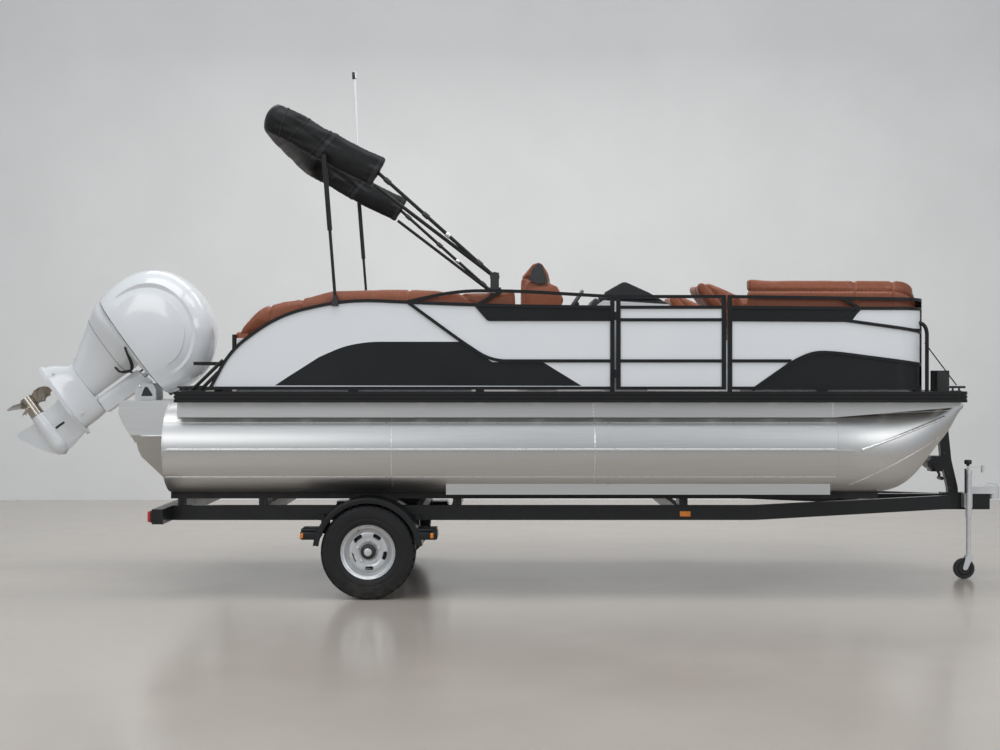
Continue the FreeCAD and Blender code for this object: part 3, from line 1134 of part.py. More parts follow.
ring = Part.makeTorus(d.wheel_radius - d.wheel_grip, d.wheel_grip)
wheel_shape = ring.fuse(Part.makeCylinder(30, 26, Vector(0, 0, -10)))
for index in range(3):
    spoke = Part.makeBox(d.wheel_radius - 24, 24, 8, Vector(12, -12, -2))
    spoke.rotate(Vector(), Vector(0, 0, 1), 120 * index + 180)
    wheel_shape = wheel_shape.fuse(spoke)
stub = Part.makeCylinder(12, 135.7, Vector(0, 0, 14))
wheel = shaped("Steering_wheel", Part.makeCompound([wheel_shape.fuse(stub)]),
               Placement(Vector(), wheel_turn))
place(wheel, "wheel_stand", "-helm_side-30", "wheel_level")
keep("steering_wheel", wheel)

# Bimini: folded bows in a boot on two side pivots, with a telescoping strut on each side
slope = math.radians(d.bow_slope)
arm_end = (d.pivot_place - d.bow_reach * math.cos(slope), d.pivot_level + d.bow_reach * math.sin(slope))
boot_slope = math.radians(d.boot_slope)
boot_end = (arm_end[0] - d.boot_reach * math.cos(boot_slope),
            arm_end[1] + d.boot_reach * math.sin(boot_slope))


def round_bar(points, radius, bend):
    """A round tube along straight runs with tangent bends."""
    path = [Vector(*p) for p in points]
    edges = []
    here = path[0]
    for index in range(1, len(path) - 1):
        start, middle, end, _, _ = corner_arc(path[index - 1], path[index], path[index + 1], bend)
        edges.append(Part.LineSegment(here, start).toShape())
        edges.append(Part.Arc(start, middle, end).toShape())
        here = end
    edges.append(Part.LineSegment(here, path[-1]).toShape())
    along = (path[1] - path[0]).normalize()
    section = Part.Wire(Part.Circle(path[0], along, radius).toShape())
    return Part.Wire(edges).makePipeShell([section], True, False)


bow_pieces = []
for sign in (-1, 1):
    y = sign * d.bow_side
    for fan, share in ((0, 1.0), (d.bow_fan, 0.97)):
        angle = slope - math.radians(fan) * 0.5
        end = (d.pivot_place - d.bow_reach * share * math.cos(angle),
               d.pivot_level + d.bow_reach * share * math.sin(angle))
        bow_pieces.append(round_bar([(d.pivot_place, y, d.pivot_level), (end[0], y, end[1])],
                                    d.bow_radius, None))
    bow_pieces.append(Part.makeCylinder(30, 44, Vector(d.pivot_place, y - 22, d.pivot_level),
                                        Vector(0, 1, 0)))
pivot_bore = Part.makeCylinder(8.05, 3 * d.bow_side, Vector(d.pivot_place, -1.5 * d.bow_side,
                                                            d.pivot_level), Vector(0, 1, 0))
bows = [bow_pieces[0].fuse(bow_pieces[1:3]).cut(pivot_bore),
        bow_pieces[3].fuse(bow_pieces[4:6]).cut(pivot_bore)]
for sign in (-1, 1):
    low = d.bow_side - 30 if sign > 0 else -d.strut_side + 18
    bows.append(Part.makeCylinder(6, d.strut_side - d.bow_side + 12,
                                  Vector(d.strut_top_place, low, d.strut_top_level), Vector(0, 1, 0)))
keep("bimini_bows", shaped("Bimini_bows", Part.makeCompound(bows)))

boot_path = [(arm_end[0], -d.bow_side, arm_end[1]), (boot_end[0], -d.bow_side, boot_end[1]),
             (boot_end[0], d.bow_side, boot_end[1]), (arm_end[0], d.bow_side, arm_end[1])]
boot_section = Part.Wire(Part.Ellipse(
    Vector(arm_end[0] + d.boot_high / 2 * math.sin(boot_slope), -d.bow_side,
           arm_end[1] + d.boot_high / 2 * math.cos(boot_slope)),
    Vector(arm_end[0], -d.bow_side - d.boot_wide / 2, arm_end[1]),
    Vector(arm_end[0], -d.bow_side, arm_end[1])).toShape())
boot_edges = []
here = Vector(*boot_path[0])
for index in (1, 2):
    start, middle, end, _, _ = corner_arc(Vector(*boot_path[index - 1]), Vector(*boot_path[index]),
                                          Vector(*boot_path[index + 1]), 260)
    boot_edges.append(Part.LineSegment(here, start).toShape())
    boot_edges.append(Part.Arc(start, middle, end).toShape())
    here = end
boot_edges.append(Part.LineSegment(here, Vector(*boot_path[3])).toShape())
boot = Part.Wire(boot_edges).makePipeShell([boot_section], True, False)
for bow in bows:
    boot = boot.cut(bow)
keep("bimini_boot", shaped("Bimini_boot", Part.makeCompound([boot])))

# Telescoping struts from the arch rail to the boot
strut_foot = Vector(d.strut_foot_place, 0, d.strut_foot_level)
strut_top = Vector(d.strut_top_place, 0, d.strut_top_level)
strut_line = (strut_top - strut_foot).normalize()
strut_length = (strut_top - strut_foot).Length
sleeve_start = 14 + d.strut_visible
lower_struts = []
upper_struts = []
for sign in (-1, 1):
    aside = Vector(0, sign * d.strut_side, 0)
    eye_low = aside - Vector(0, 8, 0)
    lower = Part.makeCylinder(10, 16, strut_foot + eye_low, Vector(0, 1, 0))
    lower = lower.fuse(Part.makeCylinder(d.strut_inner, d.strut_visible + 60,
                                         strut_foot + aside + strut_line * 9, strut_line))
    lower = lower.cut(Part.makeCylinder(5.05, 30, strut_foot + aside - Vector(0, 15, 0), Vector(0, 1, 0)))
    lower_struts.append(lower)
    upper = Part.makeCylinder(d.strut_outer, strut_length - sleeve_start - 8,
                              strut_foot + aside + strut_line * sleeve_start, strut_line)
    upper = upper.cut(Part.makeCylinder(d.strut_inner + 0.05, strut_length - sleeve_start - 30,
                                        strut_foot + aside + strut_line * (sleeve_start - 0.1), strut_line))
    upper = upper.fuse(Part.makeCylinder(16, 16, strut_top + eye_low, Vector(0, 1, 0)))
    upper_struts.append(upper)
keep("strut_lower", shaped("Strut_lower", Part.makeCompound(lower_struts)))
keep("strut_upper", shaped("Strut_upper", Part.makeCompound(upper_struts)))

# Light pole on the port arm of the boot
pole_line = Vector(-27, 0, 615).normalize()
pole_foot = Vector(d.pole_place, d.bow_side, d.pole_foot)
pole = Part.makeCylinder(d.pole_radius, (d.pole_top - d.pole_foot) / pole_line.z - 60, pole_foot, pole_line)
pole_head = pole_foot + pole_line * ((d.pole_top - d.pole_foot) / pole_line.z - 60)
pole = pole.fuse(Part.makeCylinder(17, 58, pole_head, pole_line))
pole = pole.fuse(Part.makeCylinder(25, 60, pole_foot - pole_line * 20, pole_line)).cut(boot)
keep("light_pole", shaped("Light_pole", Part.makeCompound([max(pole.Solids, key=lambda one: one.Volume)])))

# Fittings: bimini mounts, strut feet, cleats, bow lockers and the ladder's hinge
mounts = []
for side, sign in (("starboard", -1), ("port", 1)):
    def across(low, high):
        """Start of a span measured outwards from the middle plane."""
        return low if sign > 0 else -high

    mount_pieces = [
        Part.makeBox(90, 122 - 78, 12, Vector(d.pivot_place - 45, across(1206, 1250), 2163)),
        Part.makeBox(60, 12, 118, Vector(d.pivot_place - 30, across(1190, 1202), 2163)),
        Part.makeBox(90, 62, 12, Vector(d.pivot_place - 45, across(1190, 1252), 2163)),
        Part.makeCylinder(8, 60, Vector(d.pivot_place, across(1140, 1200), d.pivot_level), Vector(0, 1, 0)),
    ]
    mount = mount_pieces[0]
    for piece in mount_pieces[1:]:
        mount = mount.fuse(piece)
    mounts.append(mount)
    saddle = Part.makeBox(44, 44, 46, Vector(d.strut_foot_place - 22, across(1218, 1262), 2046))
    for ear_low, ear_high in ((1222, 1229), (1251, 1258)):
        saddle = saddle.fuse(Part.makeBox(26, 7, 74, Vector(d.strut_foot_place - 13,
                                                            across(ear_low, ear_high), 2046)))
    saddle = saddle.fuse(Part.makeCylinder(5, 36, Vector(d.strut_foot_place, across(1222, 1258),
                                                         d.strut_foot_level), Vector(0, 1, 0)))
    saddle = saddle.cut(Part.makeBox(30, 21.6, 40, Vector(d.strut_foot_place - 15, across(1229.2, 1250.8),
                                                          2092.2)).cut(
        Part.makeCylinder(5, 60, Vector(d.strut_foot_place, across(1210, 1270), d.strut_foot_level),
                          Vector(0, 1, 0))))
    mounts.append(saddle)
doc.recompute()
fence_both = [PARTS[name].Shape for name in ("fence_starboard", "fence_port", "white_panels")]
seated = []
for mount in mounts:
    for shape in fence_both:
        if mount.distToShape(shape)[0] < 1:
            mount = mount.cut(shape)
    seated.append(max(mount.Solids, key=lambda one: one.Volume))
fittings = seated
deck_front = d.deck_aft + d.deck_length
cleat_side = d.deck_beam / 2 - 115
for x, y in ((deck_front - 68, cleat_side), (deck_front - 68, -cleat_side),
             (d.deck_aft + 70, cleat_side), (d.deck_aft + 70, -cleat_side)):
    cleat = Part.makeBox(70, 26, 10, Vector(x - 35, y - 13, d.deck_top))
    for post in (-22, 22):
        cleat = cleat.fuse(Part.makeCylinder(7, 30, Vector(x + post, y, d.deck_top)))
    cleat = cleat.fuse(Part.makeCylinder(8, 130, Vector(x - 65, y, d.deck_top + 34), Vector(1, 0, 0)))
    fittings.append(cleat)
for sign in (-1, 1):
    locker = Part.makeBox(98, 150, 150, Vector(deck_front - 144,
                                               sign * (d.deck_beam / 2 - 395) - 75, d.deck_top))
    fittings.append(locker.makeFillet(14, [e for e in locker.Edges if e.tangentAt(e.FirstParameter).z ** 2 > 0.5]))
keep("deck_fittings", shaped("Deck_fittings", Part.makeCompound(fittings)))

ladder_pin = Vector(d.deck_aft - 15, 0, d.deck_top + 22)
ladder_low, ladder_high = -962, -638
hinge = None
for low in (ladder_low - 13, ladder_high + 2):
    ear = Part.makeBox(112, 11, 36, Vector(d.deck_aft - 27, low, d.deck_top + d.rail_lip))
    ear = ear.fuse(Part.makeBox(92 - d.rail_depth, 11, 10, Vector(d.deck_aft + d.rail_depth, low, d.deck_top)))
    hinge = ear if hinge is None else hinge.fuse(ear)
hinge = hinge.fuse(Part.makeCylinder(6, ladder_high - ladder_low + 26, ladder_pin + Vector(0, ladder_low - 13, 0),
                                     Vector(0, 1, 0)))
keep("ladder_hinge", shaped("Ladder_hinge", Part.makeCompound([hinge])))
ladder_path = [(ladder_pin.x, ladder_pin.z), (d.deck_aft + 290, ladder_pin.z), (d.deck_aft + 290, 1650),
               (d.deck_aft + 70, 1650)]
ladder_rails = [padded("Ladder_rail_%d" % index, strip(ladder_path, 24, 60), "24", y="%f" % y)
                for index, y in enumerate((ladder_low + 12, ladder_high - 12))]
ladder_treads = [block("Tread_%d" % index, "86", "%f" % (ladder_high - ladder_low - 20), "16", "%f" % x,
                       "%f" % (ladder_low + 10), "%f" % z)
                 for index, (x, z) in enumerate(((d.deck_aft + 80, 1642), (d.deck_aft + 195, 1642),
                                                 (d.deck_aft + 205, 1464)))]
ladder_pad = block("Ladder_pad", "60", "%f" % (ladder_high - ladder_low - 40), "14", "%f" % (d.deck_aft + 215),
                   "%f" % (ladder_low + 20), "deck_top+0.3")
ladder_bore = rod("Ladder_bore", "6.05", "500", "%f" % ladder_pin.x, "%f" % (ladder_low - 60),
                  "%f" % ladder_pin.z, "y")
keep("ladder", carved("Ladder", joined("Ladder_whole", ladder_rails + ladder_treads + [ladder_pad]),
                      ladder_bore))

# Check, then write one file for each sub-part
doc.recompute()
for item in doc.Objects:
    if "Invalid" in item.State or "Error" in item.State:
        raise RuntimeError("%s is %s" % (item.Name, item.State))
for label, item in PARTS.items():
    if item.Shape.isNull() or not item.Shape.isValid() or not item.Shape.Solids:
        raise RuntimeError("%s has no valid shape" % label)
os.makedirs("parts", exist_ok=True)
for label, item in PARTS.items():
    item.Shape.exportStep("parts/%s.step" % label)
    box = item.Shape.BoundBox
    print("%-22s %3d solids %8.2f l  x %6.0f %6.0f  y %6.0f %6.0f  z %6.0f %6.0f" % (
        label, len(item.Shape.Solids), item.Shape.Volume / 1e6, box.XMin, box.XMax,
        box.YMin, box.YMax, box.ZMin, box.ZMax))
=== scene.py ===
"""Looks of a pontoon boat on its trailer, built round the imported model."""

import logging
import math
from dataclasses import dataclass, field, replace
from enum import Enum

import bmesh
import bpy
from mathutils import Matrix, Vector, geometry, noise


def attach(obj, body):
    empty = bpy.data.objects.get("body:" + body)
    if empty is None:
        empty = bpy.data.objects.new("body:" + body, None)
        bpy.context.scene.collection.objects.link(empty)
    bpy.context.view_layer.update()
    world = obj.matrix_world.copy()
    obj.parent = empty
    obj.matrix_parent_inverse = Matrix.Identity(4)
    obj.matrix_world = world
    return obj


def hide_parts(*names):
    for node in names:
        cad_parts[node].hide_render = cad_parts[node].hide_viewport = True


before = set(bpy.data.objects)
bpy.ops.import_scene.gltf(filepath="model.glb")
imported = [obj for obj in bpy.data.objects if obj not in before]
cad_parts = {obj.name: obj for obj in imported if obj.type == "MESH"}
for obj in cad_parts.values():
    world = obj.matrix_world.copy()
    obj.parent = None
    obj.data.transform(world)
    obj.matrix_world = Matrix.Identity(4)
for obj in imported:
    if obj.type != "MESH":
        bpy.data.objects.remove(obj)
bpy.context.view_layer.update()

logging.basicConfig(level=logging.INFO, format="%(message)s")
LOG = logging.getLogger("pontoon")

Colour = tuple[float, float, float]
SIDES = (("starboard", -1), ("port", 1))
MM = 0.001
Point = Vector | tuple[float, float, float]


# Shared effects
class Effects:
    """Shader node groups that several finishes place with their own values."""

    pattern_sockets: tuple = ((("Vector", "Vector", None), ("Scale", "Float", 100.0)),
                              (("Height", "Float"), ("Mask", "Float")))
    other_sockets: dict[str, tuple] = {
        "grime": ((("Vector", "Vector", None), ("Top", "Float", 0.7)), (("Mask", "Float"),)),
        "stitches": ((("Gap", "Float", 1.0), ("Run", "Float", 0.0)),
                     (("Mask", "Float"), ("Height", "Float")))}

    def __init__(self) -> None:
        """Start with no groups."""
        self.trees: dict[str, bpy.types.ShaderNodeTree] = {}

    @staticmethod
    def start(name: str, inputs: tuple[tuple[str, str, object], ...],
              outputs: tuple[tuple[str, str], ...]) -> bpy.types.ShaderNodeTree:
        """Make an empty group with named sockets.

        Args:
            name: The group's name.
            inputs: Name, socket type and default of each input.
            outputs: Name and socket type of each output.

        Returns:
            The node tree, with its input and output nodes.
        """
        tree = bpy.data.node_groups.new(name, "ShaderNodeTree")
        for label, kind, value in inputs:
            socket = tree.interface.new_socket(label, in_out="INPUT", socket_type="NodeSocket" + kind)
            if value is not None:
                socket.default_value = value
        for label, kind in outputs:
            tree.interface.new_socket(label, in_out="OUTPUT", socket_type="NodeSocket" + kind)
        tree.nodes.new("NodeGroupInput").name = "In"
        tree.nodes.new("NodeGroupOutput").name = "Out"
        return tree

    @staticmethod
    def add(tree: bpy.types.NodeTree, kind: str, links: dict[str, object] | None = None,
            **settings: object) -> bpy.types.Node:
        """Add a node, with its sockets set or linked by name.

        Args:
            tree: The tree that gets the node.
            kind: The node's type without its prefix.
            links: A value or an output socket for each named input.
            **settings: Properties of the node.

        Returns:
            The new node.
        """
        node = tree.nodes.new("ShaderNode" + kind)
        for key, value in settings.items():
            setattr(node, key, value)
        for key, value in (links or {}).items():
            socket = node.inputs[int(key)] if key.isdigit() else node.inputs[key]
            if isinstance(value, bpy.types.NodeSocket):
                tree.links.new(value, socket)
            else:
                socket.default_value = value
        return node

    def cloud(self, tree: bpy.types.NodeTree, vector: bpy.types.NodeSocket, scale: object,
              detail: float, roughness: float = 0.5) -> bpy.types.Node:
        """Add a noise texture.

        Args:
            tree: The tree that gets the node.
            vector: Where the noise is read.
            scale: Its scale, a value or an output socket.
            detail: Its detail.
            roughness: Its roughness.

        Returns:
            The new node.
        """
        return self.add(tree, "TexNoise", {"Vector": vector, "Scale": scale, "Detail": detail,
                                           "Roughness": roughness})

    def worked(self, tree: bpy.types.NodeTree, operation: str, *values: object,
               **settings: object) -> bpy.types.NodeSocket:
        """Work out a number from others.

        Args:
            tree: The tree that gets the node.
            operation: What is done with them.
            *values: A value or an output socket for each input, in order.
            **settings: Further properties of the node.

        Returns:
            The socket that gives it.
        """
        links = {str(index): value for index, value in enumerate(values)}
        return self.add(tree, "Math", links, operation=operation, **settings).outputs[0]

    def ranged(self, tree: bpy.types.NodeTree, value: bpy.types.NodeSocket, low: object,
               high: float) -> bpy.types.NodeSocket:
        """Find a value's share of the way between two limits, kept from 0 to 1.

        Args:
            tree: The tree that gets the node.
            value: The value.
            low: Where the share is 0, a value or an output socket.
            high: Where the share is 1.

        Returns:
            The socket that gives it.
        """
        links = {"Value": value, "From Min": low, "From Max": high}
        return self.add(tree, "MapRange", links).outputs["Result"]

    def group(self, name: str) -> bpy.types.ShaderNodeTree:
        """A group by name, built the first time it is asked for.

        Args:
            name: A pattern's name, or grime or stitches.

        Returns:
            The group, with the inputs and outputs of its kind.
        """
        if name not in self.trees:
            inputs, outputs = self.other_sockets.get(name, self.pattern_sockets)
            tree = self.start(name, inputs, outputs)
            made = getattr(self, "_" + name)(tree, tree.nodes["In"].outputs)
            for (label, _), socket in zip(outputs, made):
                tree.links.new(socket, tree.nodes["Out"].inputs[label])
            self.trees[name] = tree
        return self.trees[name]

    def _stretched(self, tree: bpy.types.NodeTree, vector: bpy.types.NodeSocket,
                   scale: tuple[float, float, float]) -> bpy.types.NodeSocket:
        """A vector scaled apart on its three axes."""
        return self.add(tree, "Mapping", {"Vector": vector, "Scale": scale}).outputs["Vector"]

    def _smooth(self, tree: bpy.types.NodeTree, sockets: object) -> tuple:
        """Height and mask of the slow unevenness of paint over sheet.

        Args:
            tree: The group's tree.
            sockets: The group's inputs.

        Returns:
            The sockets that give them.
        """
        slow = self.cloud(tree, sockets["Vector"], sockets["Scale"], 3.0, 0.55).outputs["Fac"]
        fine = self.cloud(tree, sockets["Vector"], 900.0, 2.0).outputs["Fac"]
        return self.worked(tree, "MULTIPLY_ADD", fine, 0.12, slow), slow

    def _grain(self, tree: bpy.types.NodeTree, sockets: object) -> tuple:
        """Height and mask of pebbled leather with creases between the pebbles.

        Args:
            tree: The group's tree.
            sockets: The group's inputs.

        Returns:
            The sockets that give them.
        """
        wobble = self.cloud(tree, sockets["Vector"], 60.0, 2.0)
        shifted = self.add(tree, "VectorMath", {"0": wobble.outputs["Color"], "1": (0.004, 0.004, 0.004),
                                                "2": sockets["Vector"]}, operation="MULTIPLY_ADD")
        cells = self.add(tree, "TexVoronoi", {"Vector": shifted.outputs[0], "Scale": sockets["Scale"]},
                         feature="DISTANCE_TO_EDGE")
        return self.ranged(tree, cells.outputs["Distance"], 0.0, 0.22), wobble.outputs["Fac"]

    def _weave(self, tree: bpy.types.NodeTree, sockets: object) -> tuple:
        """Height and mask of plain woven cloth, its threads crossing.

        Args:
            tree: The group's tree.
            sockets: The group's inputs.

        Returns:
            The sockets that give them.
        """
        waves = []
        for scale in ((1.0, 0.25, 0.3), (0.3, 1.0, 1.0)):
            vector = self._stretched(tree, sockets["Vector"], scale)
            wave = self.add(tree, "TexWave", {"Vector": vector, "Scale": sockets["Scale"],
                                              "Distortion": 0.35, "Detail": 1.0},
                            bands_direction="DIAGONAL")
            waves.append(wave.outputs["Fac"])
        fluff = self.cloud(tree, sockets["Vector"], 9.0, 6.0).outputs["Fac"]
        return self.worked(tree, "MULTIPLY", *waves), fluff

    def _brushed(self, tree: bpy.types.NodeTree, sockets: object) -> tuple:
        """Height and mask of rolled sheet: fine streaks along its length over slow waves.

        Args:
            tree: The group's tree.
            sockets: The group's inputs.

        Returns:
            The sockets that give them.
        """
        streaks = self._stretched(tree, sockets["Vector"], (0.012, 1.0, 1.0))
        streak = self.cloud(tree, streaks, sockets["Scale"], 5.0, 0.65).outputs["Fac"]
        waves = self._stretched(tree, sockets["Vector"], (0.35, 1.0, 1.0))
        wave = self.cloud(tree, waves, 5.0, 2.0).outputs["Fac"]
        return self.worked(tree, "MULTIPLY_ADD", streak, 0.05, wave), streak

    def _speckle(self, tree: bpy.types.NodeTree, sockets: object) -> tuple:
        """Height and mask of short pile, cast skin or rubber dust.

        Args:
            tree: The group's tree.
            sockets: The group's inputs.

        Returns:
            The sockets that give them.
        """
        grit = self.cloud(tree, sockets["Vector"], sockets["Scale"], 8.0, 0.75)
        patch = self.cloud(tree, sockets["Vector"], 7.0, 4.0)
        return grit.outputs["Fac"], patch.outputs["Fac"]

    def _grime(self, tree: bpy.types.NodeTree, sockets: object) -> tuple:
        """Mask of road dust, thicker near the ground and in patches.

        Args:
            tree: The group's tree.
            sockets: The group's inputs.

        Returns:
            The socket that gives it.
        """
        level = self.add(tree, "SeparateXYZ", {"Vector": sockets["Vector"]}).outputs["Z"]
        patch = self.cloud(tree, sockets["Vector"], 14.0, 7.0, 0.7).outputs["Fac"]
        low = self.ranged(tree, level, sockets["Top"], 0.0)
        return (self.worked(tree, "MULTIPLY", low, self.ranged(tree, patch, 0.42, 0.72)),)

    def _stitches(self, tree: bpy.types.NodeTree, sockets: object) -> tuple:
        """Mask of two rows of thread beside a seam, and height of the valley along it.

        Args:
            tree: The group's tree.
            sockets: The group's inputs.

        Returns:
            The sockets that give them.
        """
        aside = self.worked(tree, "ABSOLUTE", sockets["Gap"])
        row = self.worked(tree, "ABSOLUTE", self.worked(tree, "SUBTRACT", aside, 0.011))
        wave = self.worked(tree, "SINE", self.worked(tree, "MULTIPLY", sockets["Run"], 700.0))
        mask = self.worked(tree, "MULTIPLY", self.ranged(tree, row, 0.0016, 0.0008),
                           self.ranged(tree, wave, -0.5, -0.2))
        return mask, self.ranged(tree, aside, 0.0, 0.006)


EFFECTS = Effects()


class Pattern(Enum):
    """Surface patterns that a finish can carry."""

    SMOOTH = "smooth"
    GRAIN = "grain"
    WEAVE = "weave"
    BRUSHED = "brushed"
    SPECKLE = "speckle"


@dataclass(frozen=True)
class Finish:
    """A surface finish: its colours, gloss and pattern."""

    name: str
    colour: Colour
    second: Colour
    roughness: float = 0.5
    spread: float = 0.08
    metallic: float = 0.0
    pattern: Pattern = Pattern.SMOOTH
    scale: float = 6.0
    bump: float = 0.1
    depth: float = 0.001
    coat: float = 0.0
    sheen: float = 0.0
    dust: Colour | None = None
    dust_top: float = 0.7
    thread: Colour | None = None
    transmission: float = 0.0
    shine: float = 0.5

    def build(self) -> bpy.types.Material:
        """Make the material.

        Returns:
            A node material that reads Object coordinates.
        """
        material = bpy.data.materials.new(self.name)
        material.use_nodes = True
        tree = material.node_tree
        tree.nodes.clear()
        out = EFFECTS.add(tree, "OutputMaterial")
        shader = EFFECTS.add(tree, "BsdfPrincipled")
        tree.links.new(shader.outputs["BSDF"], out.inputs["Surface"])
        where = EFFECTS.add(tree, "TexCoord").outputs["Object"]
        cover = EFFECTS.add(tree, "Group", node_tree=EFFECTS.group(self.pattern.value))
        tree.links.new(where, cover.inputs["Vector"])
        cover.inputs["Scale"].default_value = self.scale
        blend = EFFECTS.ranged(tree, cover.outputs["Mask"], 0.3, 0.7)
        mix = EFFECTS.add(tree, "Mix", {"Factor": blend}, data_type="RGBA")
        mix.inputs[6].default_value = (*self.colour, 1)
        mix.inputs[7].default_value = (*self.second, 1)
        tone = mix.outputs[2]
        height = cover.outputs["Height"]
        gloss = EFFECTS.add(tree, "MapRange", {
            "Value": blend, "To Min": max(self.roughness - self.spread, 0.03),
            "To Max": min(self.roughness + self.spread, 1.0)}).outputs["Result"]
        if self.dust:
            dirt = EFFECTS.add(tree, "Group", node_tree=EFFECTS.group("grime"))
            tree.links.new(where, dirt.inputs["Vector"])
            dirt.inputs["Top"].default_value = self.dust_top
            tone = self.over(tree, tone, self.dust, dirt.outputs["Mask"])
            gloss = EFFECTS.worked(tree, "MULTIPLY_ADD", dirt.outputs["Mask"], 0.3, gloss,
                                   use_clamp=True)
        if self.thread:
            sewn = EFFECTS.add(tree, "Group", node_tree=EFFECTS.group("stitches"))
            for label, attribute in (("Gap", "seam_gap"), ("Run", "seam_run")):
                read = EFFECTS.add(tree, "Attribute", attribute_name=attribute)
                tree.links.new(read.outputs["Fac"], sewn.inputs[label])
            tone = self.over(tree, tone, self.thread, sewn.outputs["Mask"])
            height = EFFECTS.worked(tree, "MULTIPLY_ADD", sewn.outputs["Height"], 2.0, height)
        tree.links.new(tone, shader.inputs["Base Color"])
        tree.links.new(gloss, shader.inputs["Roughness"])
        relief = EFFECTS.add(tree, "Bump", {"Height": height, "Strength": self.bump,
                                            "Distance": self.depth})
        tree.links.new(relief.outputs["Normal"], shader.inputs["Normal"])
        shader.inputs["Metallic"].default_value = self.metallic
        shader.inputs["Specular IOR Level"].default_value = self.shine
        shader.inputs["Coat Weight"].default_value = self.coat
        shader.inputs["Coat Roughness"].default_value = 0.06
        shader.inputs["Sheen Weight"].default_value = self.sheen
        shader.inputs["Transmission Weight"].default_value = self.transmission
        return material

    @staticmethod
    def over(tree: bpy.types.NodeTree, below: bpy.types.NodeSocket, colour: Colour,
             mask: bpy.types.NodeSocket) -> bpy.types.NodeSocket:
        """Lay a colour over another where a mask says.

        Args:
            tree: The material's tree.
            below: The colour underneath.
            colour: The colour laid over it.
            mask: How much of it shows.

        Returns:
            The mixed colour.
        """
        mix = EFFECTS.add(tree, "Mix", {"Factor": mask}, data_type="RGBA")
        tree.links.new(below, mix.inputs[6])
        mix.inputs[7].default_value = (*colour, 1)
        return mix.outputs[2]


LEATHER = Finish("brown_leather", (0.225, 0.064, 0.028), (0.275, 0.083, 0.038), 0.4, 0.06,
                 pattern=Pattern.GRAIN, scale=420.0, bump=0.35, depth=0.0006,
                 thread=(0.42, 0.2, 0.13), shine=0.42)
PLAIN_LEATHER = replace(LEATHER, name="plain_leather", thread=None)
DARK_LEATHER = Finish("dark_leather", (0.028, 0.028, 0.03), (0.045, 0.045, 0.048), 0.5, 0.06,
                      pattern=Pattern.GRAIN, scale=420.0, bump=0.35, depth=0.0006)
BOOT_CLOTH = Finish("boot_cloth", (0.0035, 0.0036, 0.004), (0.0065, 0.0066, 0.007), 0.5, 0.06,
                    pattern=Pattern.WEAVE, scale=500.0, bump=0.2, depth=0.0005, shine=0.3)
STRAP_WEB = Finish("strap_web", (0.01, 0.01, 0.011), (0.022, 0.022, 0.024), 0.7, 0.06,
                   pattern=Pattern.WEAVE, scale=700.0, bump=0.5, depth=0.0008)
TUBE_SHEET = Finish("tube_sheet", (0.6, 0.595, 0.585), (0.66, 0.66, 0.655), 0.4, 0.035, 1.0,
                    Pattern.BRUSHED, 220.0, 0.03, 0.004)
PLAIN_ALUMINIUM = Finish("plain_aluminium", (0.62, 0.62, 0.61), (0.72, 0.72, 0.71), 0.36, 0.07, 1.0,
                         Pattern.BRUSHED, 160.0, 0.1, 0.002)
FRAME_COAT = Finish("frame_coat", (0.007, 0.0072, 0.008), (0.01, 0.0102, 0.011), 0.42, 0.05,
                    bump=0.05, scale=8.0, coat=0.06, shine=0.3)
WHITE_SHEET = Finish("white_sheet", (0.79, 0.81, 0.835), (0.82, 0.835, 0.855), 0.24, 0.03,
                     bump=0.035, depth=0.004, scale=2.2, coat=0.35)
BLACK_SHEET = Finish("black_sheet", (0.007, 0.0078, 0.0095), (0.0105, 0.0115, 0.0135), 0.4, 0.04,
                     bump=0.03, depth=0.004, scale=2.2, coat=0.04, shine=0.3)
RAIL_RUBBER = Finish("rail_rubber", (0.008, 0.008, 0.009), (0.014, 0.014, 0.015), 0.5, 0.08,
                     pattern=Pattern.SPECKLE, scale=600.0, bump=0.15, depth=0.0004, shine=0.3)
WHITE_MOULD = Finish("white_mould", (0.74, 0.745, 0.75), (0.8, 0.8, 0.81), 0.34, 0.05, scale=5.0,
                     bump=0.08, coat=0.2)
COWL_PAINT = Finish("cowl_paint", (0.76, 0.775, 0.795), (0.79, 0.805, 0.82), 0.2, 0.03, scale=3.0,
                    bump=0.03, coat=0.6)
CASTING_PAINT = Finish("casting_paint", (0.73, 0.745, 0.765), (0.77, 0.785, 0.8), 0.3, 0.05,
                       pattern=Pattern.SPECKLE, scale=260.0, bump=0.06, depth=0.0006, coat=0.35)
SCREEN_TINT = Finish("screen_tint", (0.05, 0.05, 0.055), (0.06, 0.06, 0.065), 0.06, 0.02, bump=0.01,
                     transmission=0.75)
DECK_COVER = Finish("deck_cover", (0.24, 0.235, 0.23), (0.36, 0.35, 0.34), 0.8, 0.08,
                    pattern=Pattern.WEAVE, scale=260.0, bump=0.5, depth=0.0012)
TRAILER_ENAMEL = Finish("trailer_enamel", (0.008, 0.0085, 0.0095), (0.012, 0.0125, 0.0135), 0.34, 0.05,
                        scale=10.0, bump=0.05, coat=0.2, dust=(0.09, 0.08, 0.066), dust_top=0.3,
                        shine=0.3)
BUNK_CARPET = Finish("bunk_carpet", (0.018, 0.018, 0.02), (0.035, 0.035, 0.037), 0.92, 0.05,
                     pattern=Pattern.SPECKLE, scale=420.0, bump=0.8, depth=0.003, sheen=0.2)
TYRE_RUBBER = Finish("tyre_rubber", (0.012, 0.012, 0.013), (0.019, 0.019, 0.02), 0.56, 0.08,
                     pattern=Pattern.SPECKLE, scale=300.0, bump=0.15, depth=0.0005,
                     dust=(0.07, 0.062, 0.052), dust_top=0.16, shine=0.3)
